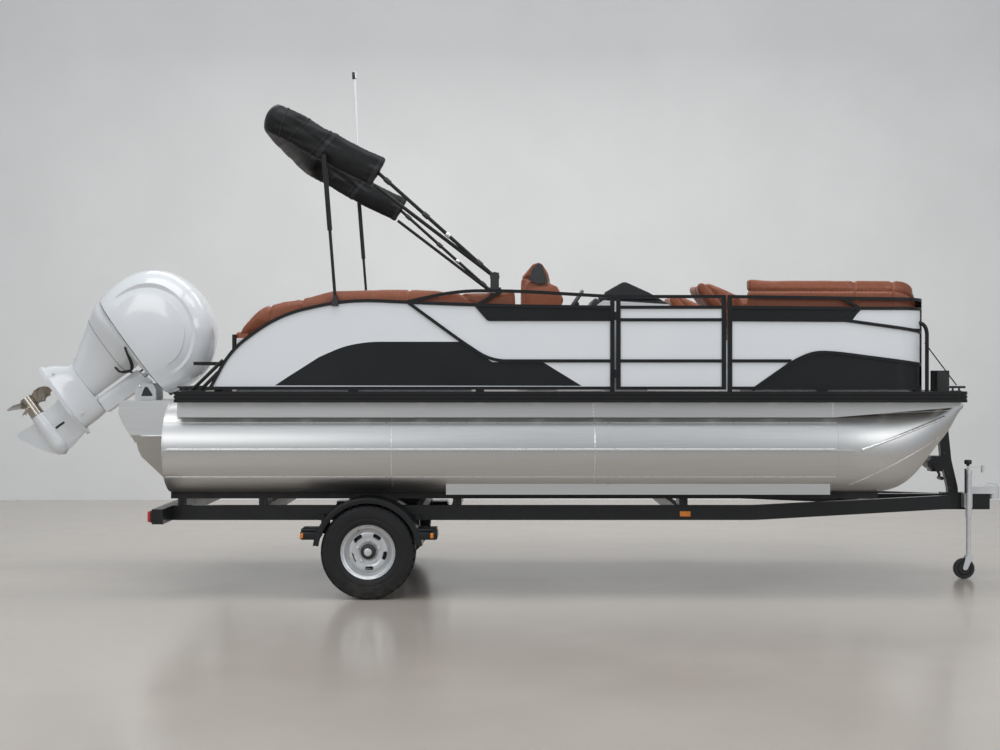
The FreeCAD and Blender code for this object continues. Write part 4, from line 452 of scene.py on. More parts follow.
RIM_PAINT = Finish("rim_paint", (0.66, 0.67, 0.68), (0.72, 0.73, 0.74), 0.34, 0.06, 0.55, scale=30.0,
                   bump=0.04, coat=0.3, dust=(0.24, 0.21, 0.17), dust_top=0.2)
ZINC_PLATE = Finish("zinc_plate", (0.72, 0.73, 0.74), (0.8, 0.8, 0.8), 0.38, 0.08, 0.6,
                    Pattern.SPECKLE, 40.0, 0.06)
PROP_METAL = Finish("prop_metal", (0.36, 0.32, 0.27), (0.5, 0.46, 0.4), 0.24, 0.08, 1.0,
                    Pattern.SPECKLE, 24.0, 0.08)
BLACK_MOULD = Finish("black_mould", (0.018, 0.018, 0.019), (0.03, 0.03, 0.031), 0.46, 0.06,
                     pattern=Pattern.SPECKLE, scale=520.0, bump=0.2, depth=0.0003)
DARK_RUBBER = Finish("dark_rubber", (0.013, 0.013, 0.014), (0.024, 0.024, 0.025), 0.58, 0.07,
                     pattern=Pattern.SPECKLE, scale=300.0, bump=0.15, depth=0.0004)
WHITE_POLE = Finish("white_pole", (0.8, 0.8, 0.8), (0.84, 0.84, 0.84), 0.3, 0.04, scale=20.0,
                    bump=0.04)
RED_LENS = Finish("red_lens", (0.52, 0.012, 0.01), (0.6, 0.02, 0.016), 0.16, 0.03, scale=60.0,
                  bump=0.15, coat=0.5)
AMBER_LENS = Finish("amber_lens", (0.75, 0.2, 0.012), (0.82, 0.26, 0.02), 0.16, 0.03, scale=60.0,
                    bump=0.15, coat=0.5)
CAST_IRON = Finish("cast_iron", (0.09, 0.09, 0.095), (0.15, 0.15, 0.15), 0.5, 0.1, 0.5,
                   Pattern.SPECKLE, 90.0, 0.4, 0.002)
BRIGHT_BEAD = Finish("bright_bead", (0.8, 0.8, 0.8), (0.86, 0.86, 0.86), 0.3, 0.05, 0.85, scale=60.0,
                     bump=0.1)
BRIGHT_STEEL = Finish("bright_steel", (0.72, 0.72, 0.72), (0.8, 0.8, 0.8), 0.16, 0.04, 1.0,
                      scale=30.0, bump=0.02)

NODES_OF: dict[Finish, tuple[str, ...]] = {
    TUBE_SHEET: ("tube_starboard", "tube_port", "side_skirts"),
    PLAIN_ALUMINIUM: ("motor_pod", "crossbeams", "chair_pedestal"),
    DECK_COVER: ("deck",),
    RAIL_RUBBER: ("rub_rail",),
    TRAILER_ENAMEL: ("frame_rails", "frame_crossbeams", "tongue", "bunk_brackets", "axle", "fenders",
                     "winch_stand"),
    ZINC_PLATE: ("coupler", "jack", "jack_caster"),
    BUNK_CARPET: ("bunks",),
    RED_LENS: ("trailer_lamps",),
    TYRE_RUBBER: ("tyre_starboard", "tyre_port"),
    RIM_PAINT: ("rim_starboard", "rim_port"),
    DARK_RUBBER: ("jack_wheel",),
    COWL_PAINT: ("engine_cowl",),
    CAST_IRON: ("powerhead",),
    CASTING_PAINT: ("midsection", "lower_unit", "swivel_bracket", "clamp_brackets"),
    PROP_METAL: ("propeller",),
    FRAME_COAT: ("fence_starboard", "fence_port", "gate_starboard", "gate_port", "bow_gate",
                 "stern_gate", "bimini_bows", "strut_lower", "strut_upper", "ladder_hinge", "ladder"),
    WHITE_SHEET: ("white_panels", "gate_panels_starboard", "gate_panels_port"),
    BLACK_SHEET: ("black_panels",),
    WHITE_MOULD: ("lounge_bases", "console"),
    LEATHER: ("stern_seats", "bow_seats", "stern_backrests", "bow_backrests", "helm_chair"),
    SCREEN_TINT: ("windscreen",),
    BLACK_MOULD: ("chair_slider", "steering_wheel", "deck_fittings"),
    BOOT_CLOTH: ("bimini_boot",),
    WHITE_POLE: ("light_pole",),
}


class Wardrobe:
    """Every finish's material, made once and shared."""

    def __init__(self) -> None:
        """Start with no materials."""
        self.made: dict[str, bpy.types.Material] = {}

    def of(self, finish: Finish) -> bpy.types.Material:
        """The material of a finish.

        Args:
            finish: The finish.

        Returns:
            Its material, made at the first call.
        """
        if finish.name not in self.made:
            self.made[finish.name] = finish.build()
        return self.made[finish.name]

    def dress_nodes(self) -> None:
        """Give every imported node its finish."""
        for finish, nodes in NODES_OF.items():
            for node in nodes:
                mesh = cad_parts[node].data
                mesh.materials.clear()
                mesh.materials.append(self.of(finish))


WARDROBE = Wardrobe()


# Mesh helpers
def finished(bm: bmesh.types.BMesh, name: str, finish: Finish, body: str,
             stands_for: tuple[str, ...] = (), crease: float = 32.0) -> bpy.types.Object:
    """Turn a bmesh into a piece that rides on a body.

    Args:
        bm: The mesh; it is freed.
        name: The piece's name.
        finish: Its finish.
        body: The body that carries it.
        stands_for: Nodes that the piece replaces.
        crease: Edges sharper than this many degrees stay sharp.

    Returns:
        The new object.
    """
    bmesh.ops.remove_doubles(bm, verts=bm.verts, dist=1e-5)
    bmesh.ops.recalc_face_normals(bm, faces=bm.faces)
    for face in bm.faces:
        face.smooth = True
    limit = math.radians(crease)
    for edge in bm.edges:
        edge.smooth = len(edge.link_faces) == 2 and edge.calc_face_angle(0.0) < limit
    mesh = bpy.data.meshes.new(name)
    bm.to_mesh(mesh)
    bm.free()
    return placed(bpy.data.objects.new(name, mesh), finish, body, stands_for)


def placed(piece: bpy.types.Object, finish: Finish, body: str,
           stands_for: tuple[str, ...] = ()) -> bpy.types.Object:
    """Link a piece, dress it and let it ride.

    Args:
        piece: The object, with its place in its data.
        finish: Its finish.
        body: The body that carries it.
        stands_for: Nodes that the piece replaces.

    Returns:
        The same object.
    """
    if piece.name not in bpy.context.scene.collection.objects:
        bpy.context.scene.collection.objects.link(piece)
    piece.data.materials.clear()
    piece.data.materials.append(WARDROBE.of(finish))
    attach(piece, body)
    if stands_for:
        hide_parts(*stands_for)
    LOG.info("%s on %s", piece.name, body)
    return piece


def slab(bm: bmesh.types.BMesh, low: Point, high: Point, bevel: float = 0.004, segments: int = 3,
         turn: Matrix | None = None) -> None:
    """Add a block with rounded edges between two corners.

    Args:
        bm: The mesh that gets it.
        low: Its lowest corner.
        high: Its highest corner.
        bevel: The edges' rounding.
        segments: Steps across the rounding.
        turn: A turn about the block's middle.
    """
    low, high = Vector(low), Vector(high)
    size = high - low
    place = Matrix.Translation((low + high) / 2) @ (turn or Matrix()) @ Matrix.Diagonal((*size, 1))
    made = bmesh.ops.create_cube(bm, size=1.0, matrix=place)["verts"]
    if bevel > 0:
        edges = list({edge for vert in made for edge in vert.link_edges})
        bmesh.ops.bevel(bm, geom=edges, offset=min(bevel, min(size) * 0.45), segments=segments,
                        profile=0.5, affect="EDGES", material=-1, clamp_overlap=True)


def side_slab(bm: bmesh.types.BMesh, sign: int, low: Point, high: Point, bevel: float = 0.004,
              segments: int = 3) -> None:
    """Add a rounded block on one side of the boat.

    Args:
        bm: The mesh that gets it.
        sign: The side, -1 for starboard or 1 for port.
        low: Its lowest inner corner, with y measured outwards from the boat's middle.
        high: Its highest outer corner, measured likewise.
        bevel: The edges' rounding.
        segments: Steps across the rounding.
    """
    near, far = sorted((sign * low[1], sign * high[1]))
    slab(bm, (low[0], near, low[2]), (high[0], far, high[2]), bevel, segments)


def rod(bm: bmesh.types.BMesh, start: Point, end: Point, radius: float, steps: int = 20,
        bevel: float = 0.0, tip: float | None = None) -> None:
    """Add a round bar between two points.

    Args:
        bm: The mesh that gets it.
        start: Middle of one end.
        end: Middle of the other end.
        radius: Its radius.
        steps: Faces round it.
        bevel: Rounding of its end edges.
        tip: Radius at the far end, where it differs.
    """
    start, end = Vector(start), Vector(end)
    line = end - start
    turn = line.to_track_quat("Z", "Y").to_matrix().to_4x4()
    made = bmesh.ops.create_cone(bm, cap_ends=True, segments=steps, radius1=radius,
                                 radius2=radius if tip is None else tip, depth=line.length,
                                 matrix=Matrix.Translation((start + end) / 2) @ turn)["verts"]
    if bevel > 0:
        caps = {edge for vert in made for edge in vert.link_edges
                if abs((edge.verts[1].co - edge.verts[0].co).normalized().dot(line.normalized())) < 0.1}
        bmesh.ops.bevel(bm, geom=list(caps), offset=bevel, segments=2, profile=0.5,
                        affect="EDGES", material=-1)


def head(bm: bmesh.types.BMesh, sign: int, foot: Point, height: float, radius: float,
         steps: int = 6, bevel: float = 0.001, tip: float | None = None) -> None:
    """Add a fastener's head that stands outwards from a side face.

    Args:
        bm: The mesh that gets it.
        sign: The side that it points to, -1 for starboard or 1 for port.
        foot: Its foot, with y measured outwards from the boat's middle.
        height: How far it stands out.
        radius: Its radius.
        steps: Faces round it.
        bevel: Rounding of its edges.
        tip: Radius of its outer end, where it differs.
    """
    start = Vector((foot[0], sign * foot[1], foot[2]))
    rod(bm, start, start + Vector((0, sign * height, 0)), radius, steps, bevel, tip)


def lathe(bm: bmesh.types.BMesh, profile: list[tuple[float, float]], centre: Point, sign: int,
          steps: int = 48, begin: float = 0.0, sweep: float = math.tau) -> None:
    """Turn a profile about an axis that lies across the boat.

    Args:
        bm: The mesh that gets it.
        profile: Pairs of radius and distance outwards along the axis.
        centre: Where the axis has its zero.
        sign: The side that is outwards, -1 for starboard or 1 for port.
        steps: Steps round the axis.
        begin: Where the turn begins, in radians up from forward.
        sweep: How far it turns about the outward direction, in radians.
    """
    centre, axis = Vector(centre), Vector((0, sign, 0))
    radial = Vector((math.cos(begin), 0, math.sin(begin)))
    verts = [bm.verts.new(centre + radial * r + axis * a) for r, a in profile]
    edges = [bm.edges.new(pair) for pair in zip(verts[:-1], verts[1:])]
    bmesh.ops.spin(bm, geom=verts + edges, cent=centre, axis=axis, angle=sweep, steps=steps,
                   use_merge=sweep == math.tau)


def skin(bm: bmesh.types.BMesh, rings: list[list[bmesh.types.BMVert]]) -> None:
    """Join closed rings, of as many vertices each, with bands of faces.

    Args:
        bm: The mesh that holds them.
        rings: The rings in order.
    """
    for first, second in zip(rings[:-1], rings[1:]):
        for index in range(len(first)):
            after = (index + 1) % len(first)
            bm.faces.new((first[index], first[after], second[after], second[index]))


def rounded(value: float, squareness: float) -> float:
    """A sine or cosine bent so that a circle becomes a rounded square."""
    return math.copysign(abs(value) ** (2 / squareness), value)


def plate(bm: bmesh.types.BMesh, outline: list[Point], thickness: Point) -> None:
    """Add a flat plate from an outline, drawn out by its thickness.

    Args:
        bm: The mesh that gets it.
        outline: Corners in order.
        thickness: The way and the length that it is drawn out.
    """
    face = bm.faces.new([bm.verts.new(point) for point in outline])
    drawn = bmesh.ops.extrude_face_region(bm, geom=[face])["geom"]
    bmesh.ops.translate(bm, vec=thickness, verts=[v for v in drawn if isinstance(v, bmesh.types.BMVert)])


def tube(name: str, points: list[Point], radius: float, finish: Finish, body: str) -> bpy.types.Object:
    """A round bar or hose along a smooth line, as a mesh.

    Args:
        name: The piece's name.
        points: The line's control points.
        radius: Its radius.
        finish: Its finish.
        body: The body that carries it.

    Returns:
        The new piece.
    """
    curve = bpy.data.curves.new(name + "_line", "CURVE")
    curve.dimensions = "3D"
    curve.bevel_depth = radius
    curve.bevel_resolution = 4
    curve.resolution_u = 10
    curve.use_fill_caps = True
    spline = curve.splines.new("NURBS")
    spline.points.add(len(points) - 1)
    for control, point in zip(spline.points, points):
        control.co = (*point, 1)
    spline.order_u = 3
    spline.use_endpoint_u = True
    holder = bpy.data.objects.new(name + "_holder", curve)
    mesh = bpy.data.meshes.new_from_object(holder)
    mesh.name = name
    mesh.shade_smooth()
    bpy.data.objects.remove(holder)
    return placed(bpy.data.objects.new(name, mesh), finish, body)


# Studio
@dataclass
class Studio:
    """A plain room with soft lamps and the camera at the photograph's place."""

    eye: Point = (-0.03, -11.295, 1.568)
    lens: float = 52.2
    sensor: float = 36.0
    sight: float = 200.0
    span: float = 60.0
    floor_depth: float = 0.02
    floor_colour: Colour = (0.49, 0.44, 0.388)
    wall_place: float = 6.9
    wall_top: float = 30.0
    wall_colour: Colour = (0.84, 0.835, 0.825)
    sky_colour: Colour = (0.87, 0.935, 1.0)
    sky_strength: float = 0.6

    def build(self) -> None:
        """Make the floor, wall, lamps, sky and camera."""
        for piece in (self.floor(), self.wall()):
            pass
        self.lamps()
        self.sky()
        self.camera()

    @staticmethod
    def coated(bm: bmesh.types.BMesh, name: str, colour: Colour, gloss: float) -> bpy.types.Object:
        """Turn a mesh into a part of the room.

        Args:
            bm: The mesh; it is freed.
            name: The part's name.
            colour: Colour of its coat.
            gloss: Roughness of its coat.

        Returns:
            The new object.
        """
        mesh = bpy.data.meshes.new(name)
        bm.to_mesh(mesh)
        bm.free()
        piece = bpy.data.objects.new(name, mesh)
        bpy.context.scene.collection.objects.link(piece)
        finish = Finish(name + "_coat", colour, tuple(c * 1.06 for c in colour), gloss, 0.04,
                        scale=0.8, bump=0.02)
        mesh.materials.append(finish.build())
        return piece

    def floor(self) -> bpy.types.Object:
        """The wide pale floor."""
        bm = bmesh.new()
        slab(bm, (-self.span, -self.span, -self.floor_depth), (self.span, self.span, 0), 0)
        return self.coated(bm, "floor", self.floor_colour, 0.2)

    def wall(self) -> bpy.types.Object:
        """The pale wall behind the boat, a single sheet."""
        bm = bmesh.new()
        bm.faces.new([bm.verts.new((x, self.wall_place, z)) for x, z in (
            (-self.span, -self.floor_depth), (self.span, -self.floor_depth),
            (self.span, self.wall_top), (-self.span, self.wall_top))])
        piece = self.coated(bm, "wall", self.wall_colour, 0.9)
        self.open_from_behind(piece.data.materials[0].node_tree)
        return piece

    def sky(self) -> None:
        """Even light from all round."""
        world = bpy.data.worlds.new("sky")
        world.use_nodes = True
        background = world.node_tree.nodes["Background"]
        background.inputs["Color"].default_value = (*self.sky_colour, 1)
        background.inputs["Strength"].default_value = self.sky_strength
        bpy.context.scene.world = world

    def camera(self) -> None:
        """Look level along the beam, as the photograph does."""
        camera = bpy.data.cameras.new("camera")
        camera.lens = self.lens
        camera.sensor_width = self.sensor
        camera.clip_end = self.sight
        holder = bpy.data.objects.new("camera", camera)
        holder.location = self.eye
        holder.rotation_euler = (math.pi / 2, 0, 0)
        bpy.context.scene.collection.objects.link(holder)
        bpy.context.scene.camera = holder
        bpy.context.scene.view_settings.view_transform = "Standard"

    @staticmethod
    def open_from_behind(tree: bpy.types.NodeTree) -> None:
        """Let a wall be seen from its front alone, so that views from behind stay clear.

        Args:
            tree: The tree of the wall's material.
        """
        out = next(node for node in tree.nodes if node.type == "OUTPUT_MATERIAL")
        solid = out.inputs["Surface"].links[0].from_socket
        clear = EFFECTS.add(tree, "BsdfTransparent")
        side = EFFECTS.add(tree, "NewGeometry")
        mix = EFFECTS.add(tree, "MixShader", {"0": side.outputs["Backfacing"], "1": solid,
                                              "2": clear.outputs[0]})
        tree.links.new(mix.outputs[0], out.inputs["Surface"])

    @staticmethod
    def lamps() -> None:
        """Hang soft lamps above, before and behind."""
        for name, spot, aim, size, power in (
                ("over", (0.0, -2.5, 7.5), (0, 0, 1), (9.0, 3.0), 255.0),
                ("front", (-4.5, -9.0, 5.0), (0, 0, 1), (4.0, 3.0), 112.0),
                ("right", (6.5, -7.0, 4.5), (0.5, 0, 1), (3.0, 3.0), 84.0),
                ("back", (0.0, 3.4, 7.0), (0, 1.5, 2.0), (9.0, 2.0), 170.0)):
            light = bpy.data.lights.new(name, "AREA")
            light.shape = "RECTANGLE"
            light.size, light.size_y = size
            light.energy = power
            holder = bpy.data.objects.new(name, light)
            holder.location = spot
            holder.rotation_mode = "QUATERNION"
            holder.rotation_quaternion = (Vector(aim) - Vector(spot)).to_track_quat("-Z", "Y")
            bpy.context.scene.collection.objects.link(holder)


# Soft goods
SWELL_FRAMES = 20


@dataclass
class Seam:
    """A seam where a plane meets a cushion."""

    point: tuple[float, float, float]
    normal: tuple[float, float, float]

    def gap(self, place: Vector) -> float:
        """Signed distance of a point from the seam's plane."""
        return (place - Vector(self.point)).dot(Vector(self.normal).normalized())


@dataclass
class SoftPiece:
    """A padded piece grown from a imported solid."""

    name: str
    node: str
    index: int
    body: str
    voxel: float = 0.016
    inset: float = 0.008
    cap: float = 0.016
    fill: float = 0.7
    groove: float = 0.011
    crown: tuple[float, float, float] | None = None
    crown_foot: float = 1.835
    crown_rise: float = 0.04
    waves: tuple[tuple[float, float], ...] = ((7.0, 0.0022), (19.0, 0.0009))
    pucker: tuple[float, float] = (42.0, 0.0016)
    pucker_reach: float = 0.03
    groove_reach: float = 0.011
    sunk: float = 0.002
    pressure: float = 4.0
    seams: list[Seam] = field(default_factory=list)
    piece: bpy.types.Object | None = None
    rest: list[Vector] = field(default_factory=list)

    def solid(self) -> bmesh.types.BMesh:
        """The chosen solid of the node, merged.

        Returns:
            A bmesh of one closed solid.
        """
        bm = bmesh.new()
        bm.from_mesh(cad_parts[self.node].data)
        bmesh.ops.remove_doubles(bm, verts=bm.verts, dist=2e-5)
        islands, seen = [], set()
        for vert in bm.verts:
            if vert in seen:
                continue
            island, queue = [], [vert]
            seen.add(vert)
            while queue:
                here = queue.pop()
                island.append(here)
                for edge in here.link_edges:
                    other = edge.other_vert(here)
                    if other not in seen:
                        seen.add(other)
                        queue.append(other)
            islands.append(island)
        islands.sort(key=lambda group: (sum(v.co.y for v in group) > 0,
                                        sum(v.co.x for v in group) / len(group)))
        keep = set(islands[self.index])
        bmesh.ops.delete(bm, geom=[v for v in bm.verts if v not in keep], context="VERTS")
        return bm

    def start(self) -> None:
        """Shrink the solid a little and remesh it evenly."""
        bm = self.solid()
        bm.normal_update()
        mesh = bpy.data.meshes.new(self.name)
        bm.to_mesh(mesh)
        bm.free()
        piece = bpy.data.objects.new(self.name, mesh)
        bpy.context.scene.collection.objects.link(piece)
        even = piece.modifiers.new("even", "REMESH")
        even.mode = "VOXEL"
        even.voxel_size = self.voxel
        self.bake(piece)
        bm = bmesh.new()
        bm.from_mesh(piece.data)
        bm.normal_update()
        for vert in bm.verts:
            vert.co -= vert.normal * self.inset
        for _ in range(4):
            bmesh.ops.smooth_vert(bm, verts=bm.verts, factor=0.5, use_axis_x=True, use_axis_y=True,
                                  use_axis_z=True)
        bm.to_mesh(piece.data)
        bm.free()
        self.piece = piece
        self.rest = [vert.co.copy() for vert in piece.data.vertices]

    @staticmethod
    def bake(piece: bpy.types.Object) -> None:
        """Apply a piece's modifiers to its mesh.

        Args:
            piece: The object, which gets the new mesh.
        """
        graph = bpy.context.evaluated_depsgraph_get()
        mesh = bpy.data.meshes.new_from_object(piece.evaluated_get(graph))
        mesh.name = piece.name
        piece.modifiers.clear()
        piece.data = mesh

    def puff(self) -> None:
        """Let the cushion swell under a little pressure."""
        cloth = self.piece.modifiers.new("swell", "CLOTH")
        cloth.settings.use_pressure = True
        cloth.settings.uniform_pressure_force = self.pressure
        cloth.settings.effector_weights.gravity = 0.0
        cloth.point_cache.frame_end = SWELL_FRAMES

    def settle(self) -> None:
        """Keep the swollen shape within its cap, sew the seams in and dress the cushion."""
        if self.piece.modifiers:
            self.bake(self.piece)
            for vert, was in zip(self.piece.data.vertices, self.rest):
                moved = vert.co - was
                if moved.length > self.cap:
                    vert.co = was + moved * (self.cap / moved.length)
        finer = self.piece.modifiers.new("finer", "SUBSURF")
        finer.levels = finer.render_levels = 1
        self.bake(self.piece)
        self.sew(self.piece.data)
        self.piece.data.shade_smooth()
        placed(self.piece, LEATHER, self.body, (self.node,))

    def sew(self, mesh: bpy.types.Mesh) -> None:
        """Press grooves, puckers and slow waves into the skin, and mark where the seams run.

        Args:
            mesh: The cushion's mesh.
        """
        gap = mesh.attributes.new("seam_gap", "FLOAT", "POINT")
        run = mesh.attributes.new("seam_run", "FLOAT", "POINT")
        normals = [vert.normal.copy() for vert in mesh.vertices]
        scale, depth = self.pucker
        for index, vert in enumerate(mesh.vertices):
            near = min((seam.gap(vert.co) for seam in self.seams), key=abs, default=1.0)
            gap.data[index].value = near
            run.data[index].value = vert.co.y + vert.co.z + vert.co.x * 0.3
            wave = sum(noise.noise(vert.co * size) * lift for size, lift in self.waves)
            pucker = math.exp(-(near / self.pucker_reach) ** 2) * noise.noise(vert.co * scale) * depth
            groove = self.groove * math.exp(-(near / self.groove_reach) ** 2)
            vert.co += normals[index] * (wave + pucker - groove - self.sunk)
            if self.crown:
                place, width, lift = self.crown
                share = max(0.0, min(1.0, (vert.co.z - self.crown_foot) / self.crown_rise))
                vert.co.z += lift * share * math.exp(-((vert.co.x - place) / width) ** 2)


@dataclass
class Upholstery:
    """All the boat's cushions."""

    stern_seat_seams: tuple[float, ...] = (-1.25, -0.74)
    bow_seat_seams: tuple[float, ...] = (2.15, 2.5)
    stern_bolster_seams: tuple[float, ...] = (-1.633, -1.409, -0.66)
    bow_bolster_seams: tuple[float, ...] = (2.44, 2.706)
    kick_pad: tuple[Point, Point] = ((-1.8745, 0.42, 1.735), (-1.775, 1.19, 1.868))

    @staticmethod
    def across(places: tuple[float, ...]) -> list[Seam]:
        """Seams across the boat, at places along it."""
        return [Seam((x, 0, 0), (1, 0, 0)) for x in places]

    @staticmethod
    def along(place: float) -> Seam:
        """A seam along the boat, at a place across it."""
        return Seam((0, place, 0), (0, 1, 0))

    def cushions(self) -> list[SoftPiece]:
        """List every cushion with its seams.

        Returns:
            The soft pieces, not yet made.
        """
        made = []
        for index, (side, sign) in enumerate(SIDES):
            aft, fore = self.order(index, 0), self.order(index, 1)
            stern_bolster = self.across(self.stern_bolster_seams) + [
                Seam((-0.3, 0, 2.14), (0.62, 0, 0.702)), self.along(sign * 1.1)]
            bow_bolster = self.across(self.bow_bolster_seams) + [
                self.along(sign * 0.75), Seam((0, 0, 2.155), (0, 0, 1))]
            chaise = [Seam((1.6, 0, 2.0), (0.78, 0, 0.62)), self.along(sign * 0.86)]
            made += [
                SoftPiece("stern_seat_" + side, "stern_seats", index, "boat",
                          seams=self.across(self.stern_seat_seams)),
                SoftPiece("bow_seat_" + side, "bow_seats", index, "boat",
                          seams=self.across(self.bow_seat_seams)),
                SoftPiece("stern_aft_back_" + side, "stern_backrests", aft, "boat"),
                SoftPiece("stern_bolster_" + side, "stern_backrests", fore, "boat",
                          seams=stern_bolster, crown=(-1.7, 0.13, 0.066)),
                SoftPiece("bow_bolster_" + side, "bow_backrests", fore, "boat",
                          seams=bow_bolster, crown=(2.98, 0.15, -0.085)),
                SoftPiece("bow_chaise_" + side, "bow_backrests", aft, "boat", seams=chaise)]
        made.append(SoftPiece("helm_seat", "helm_chair", 0, "chair", voxel=0.011, inset=0.005,
                              cap=0.01, groove=0.008,
                              seams=[Seam((0, 0, 2.3), (0.2, 0, 1)), self.along(-0.475),
                                     self.along(-0.765), Seam((0, 0, 1.97), (0.1, 0, 1))]))
        return made

    @staticmethod
    def order(side: int, part: int) -> int:
        """Place of a backrest among its node's solids, aft to fore, starboard before port."""
        return side * 2 + part

    def build(self) -> None:
        """Make every cushion, with one run of the cloth for all."""
        made = self.cushions()
        for cushion in made:
            cushion.start()
        for cushion in made:
            cushion.puff()
        for step in range(1, SWELL_FRAMES + 1):
            bpy.context.scene.frame_set(step)
        for cushion in made:
            cushion.settle()
        bpy.context.scene.frame_set(1)
        self.kick_pads()

    def kick_pads(self) -> None:
        """Short pads at the foot of the stern backs."""
        bm = bmesh.new()
        for _, sign in SIDES:
            side_slab(bm, sign, *self.kick_pad, 0.022, 4)
        finished(bm, "stern_kick_pads", PLAIN_LEATHER, "boat")


# Trailer
@dataclass
class RoadWheel:
    """A trailer wheel: the tyre with its tread, the slotted rim and what is bolted to it."""

    side: str
    sign: int
    axle: tuple[float, float] = (-0.952, 0.3315)
    middle: float = 1.1025
    half: float = 0.1025
    crown: float = 0.3312
    groove_depth: float = 0.0085
    steps: int = 108
    nuts: int = 5
    nut_circle: float = 0.078

    def spot(self, out: float) -> Vector:
        """A point on the axle line, measured outwards from the tyre's middle."""
        return Vector((self.axle[0], self.sign * (self.middle + out), self.axle[1]))

    def fitted(self, bm: bmesh.types.BMesh, name: str, finish: Finish,
               node: str | None = None, crease: float = 32.0) -> bpy.types.Object:
        """Turn a mesh into a piece of this wheel.

        Args:
            bm: The mesh; it is freed.
            name: The piece's name without its side.
            finish: Its finish.
            node: The node that it replaces, without its side.
            crease: Edges sharper than this many degrees stay sharp.

        Returns:
            The new object.
        """
        stands_for = ("%s_%s" % (node, self.side),) if node else ()
        return finished(bm, "%s_%s" % (name, self.side), finish, "wheel_" + self.side,
                        stands_for, crease)

    def tyre(self) -> None:
        """Spin the tyre and cut its shoulder blocks."""
        half = self.half
        crown = self.crown
        groove = crown - self.groove_depth
        ring = [(0.191, -half + 0.022), (0.196, -half + 0.013), (0.205, -half + 0.009),
                (0.214, -half + 0.0045), (0.232, -half + 0.0018), (0.236, -half + 0.0032),
                (0.24, -half + 0.0016), (0.262, -half + 0.0005), (0.284, -half + 0.002),
                (0.287, -half + 0.0045), (0.3, -half + 0.0055), (0.314, -half + 0.0095),
                (0.3245, -half + 0.016), (0.3285, -half + 0.024), (crown - 0.001, -half + 0.033)]
        tread = []
        for centre in (-0.045, -0.0155, 0.0155, 0.045):
            tread += [(crown, centre - 0.0045), (groove, centre - 0.003), (groove, centre + 0.003),
                      (crown, centre + 0.0045)]
        profile = ring + tread + [(r, -y) for r, y in reversed(ring)] + ring[:1]
        bm = bmesh.new()
        lathe(bm, profile, self.spot(0), self.sign, self.steps)
        bmesh.ops.remove_doubles(bm, verts=bm.verts, dist=1e-5)
        bmesh.ops.recalc_face_normals(bm, faces=bm.faces)
        blocks, ribs = [], []
        hub = self.spot(0)
        for face in bm.faces:
            arm = face.calc_center_median() - hub
            aside = abs(arm.y)
            reach = math.hypot(arm.x, arm.z)
            turn = round(math.degrees(math.atan2(arm.z, arm.x)) * self.steps / 360 - 0.5)
            if reach > 0.318 and aside > 0.052 and turn % 3 == 0:
                blocks.append(face)
            elif reach > crown - 0.0015 and aside < 0.042 and (turn + int(aside * 90)) % 6 == 0:
                ribs.append(face)
        bmesh.ops.inset_individual(bm, faces=blocks, thickness=0.0022, depth=-0.005)
        bmesh.ops.inset_individual(bm, faces=ribs, thickness=0.003, depth=-0.003)
        self.fitted(bm, "tyre_tread", TYRE_RUBBER, "tyre", 28)

    def disc(self) -> None:
        """The rim's dished disc with its five slots."""
        bm = bmesh.new()
        dish = [(0.0205, 0.03), (0.058, 0.03), (0.066, 0.0345), (0.082, 0.036), (0.098, 0.034),
                (0.1045, 0.041), (0.133, 0.041), (0.139, 0.036), (0.148, 0.022), (0.16, 0.018)]
        lathe(bm, dish, self.spot(0), self.sign, 64)
        bmesh.ops.remove_doubles(bm, verts=bm.verts, dist=1e-5)
        hub = self.spot(0)
        holes = []
        for face in bm.faces:
            arm = face.calc_center_median() - hub
            turn = (math.degrees(math.atan2(arm.z, arm.x)) - 22) % 72
            if 0.105 < math.hypot(arm.x, arm.z) < 0.132 and 21 < turn < 51:
                holes.append(face)
        bmesh.ops.delete(bm, geom=holes, context="FACES")
        bmesh.ops.solidify(bm, geom=bm.faces[:], thickness=0.004)
        disc = self.fitted(bm, "rim_disc", RIM_PAINT, "rim", 60)
        round_off = disc.modifiers.new("round_off", "SUBSURF")
        round_off.levels = round_off.render_levels = 1

    def turned_parts(self) -> None:
        """The rim's barrel, the hub cap with its badge, and the brake drum."""
        barrel = [(0.157, 0.0155), (0.163, 0.019), (0.166, 0.04), (0.1685, 0.058), (0.1775, 0.062),
                  (0.184, 0.07), (0.1905, 0.0765), (0.1965, 0.0785), (0.2, 0.0785), (0.2015, 0.0755),
                  (0.199, 0.073), (0.1895, 0.0705), (0.1895, -0.0705), (0.2, -0.0755), (0.197, -0.079),
                  (0.186, -0.07), (0.182, -0.06), (0.16, -0.02), (0.157, 0.0155)]
        cap = [(0.0, 0.0795), (0.034, 0.0795), (0.045, 0.0755), (0.051, 0.068), (0.0535, 0.05),
               (0.0535, 0.03), (0.052, 0.028)]
        badge = [(0.0, 0.0835), (0.024, 0.0832), (0.027, 0.0815), (0.027, 0.079), (0.0, 0.079)]
        drum = [(0.03, -0.09), (0.118, -0.09), (0.125, -0.084), (0.125, -0.035), (0.12, -0.03),
                (0.03, -0.03)]
        for name, profile, steps, finish, slot, node, crease in (
                ("rim_barrel", barrel, 72, RIM_PAINT, "silver_steel", "rim", 40),
                ("hub_cap", cap, 48, BLACK_MOULD, "black_plastic", None, 32),
                ("hub_badge", badge, 36, RIM_PAINT, "silver_steel", None, 32),
                ("brake_drum", drum, 40, CAST_IRON, "engine_block", None, 32)):
            bm = bmesh.new()
            lathe(bm, profile, self.spot(0), self.sign, steps)
            self.fitted(bm, name, finish, node, crease)

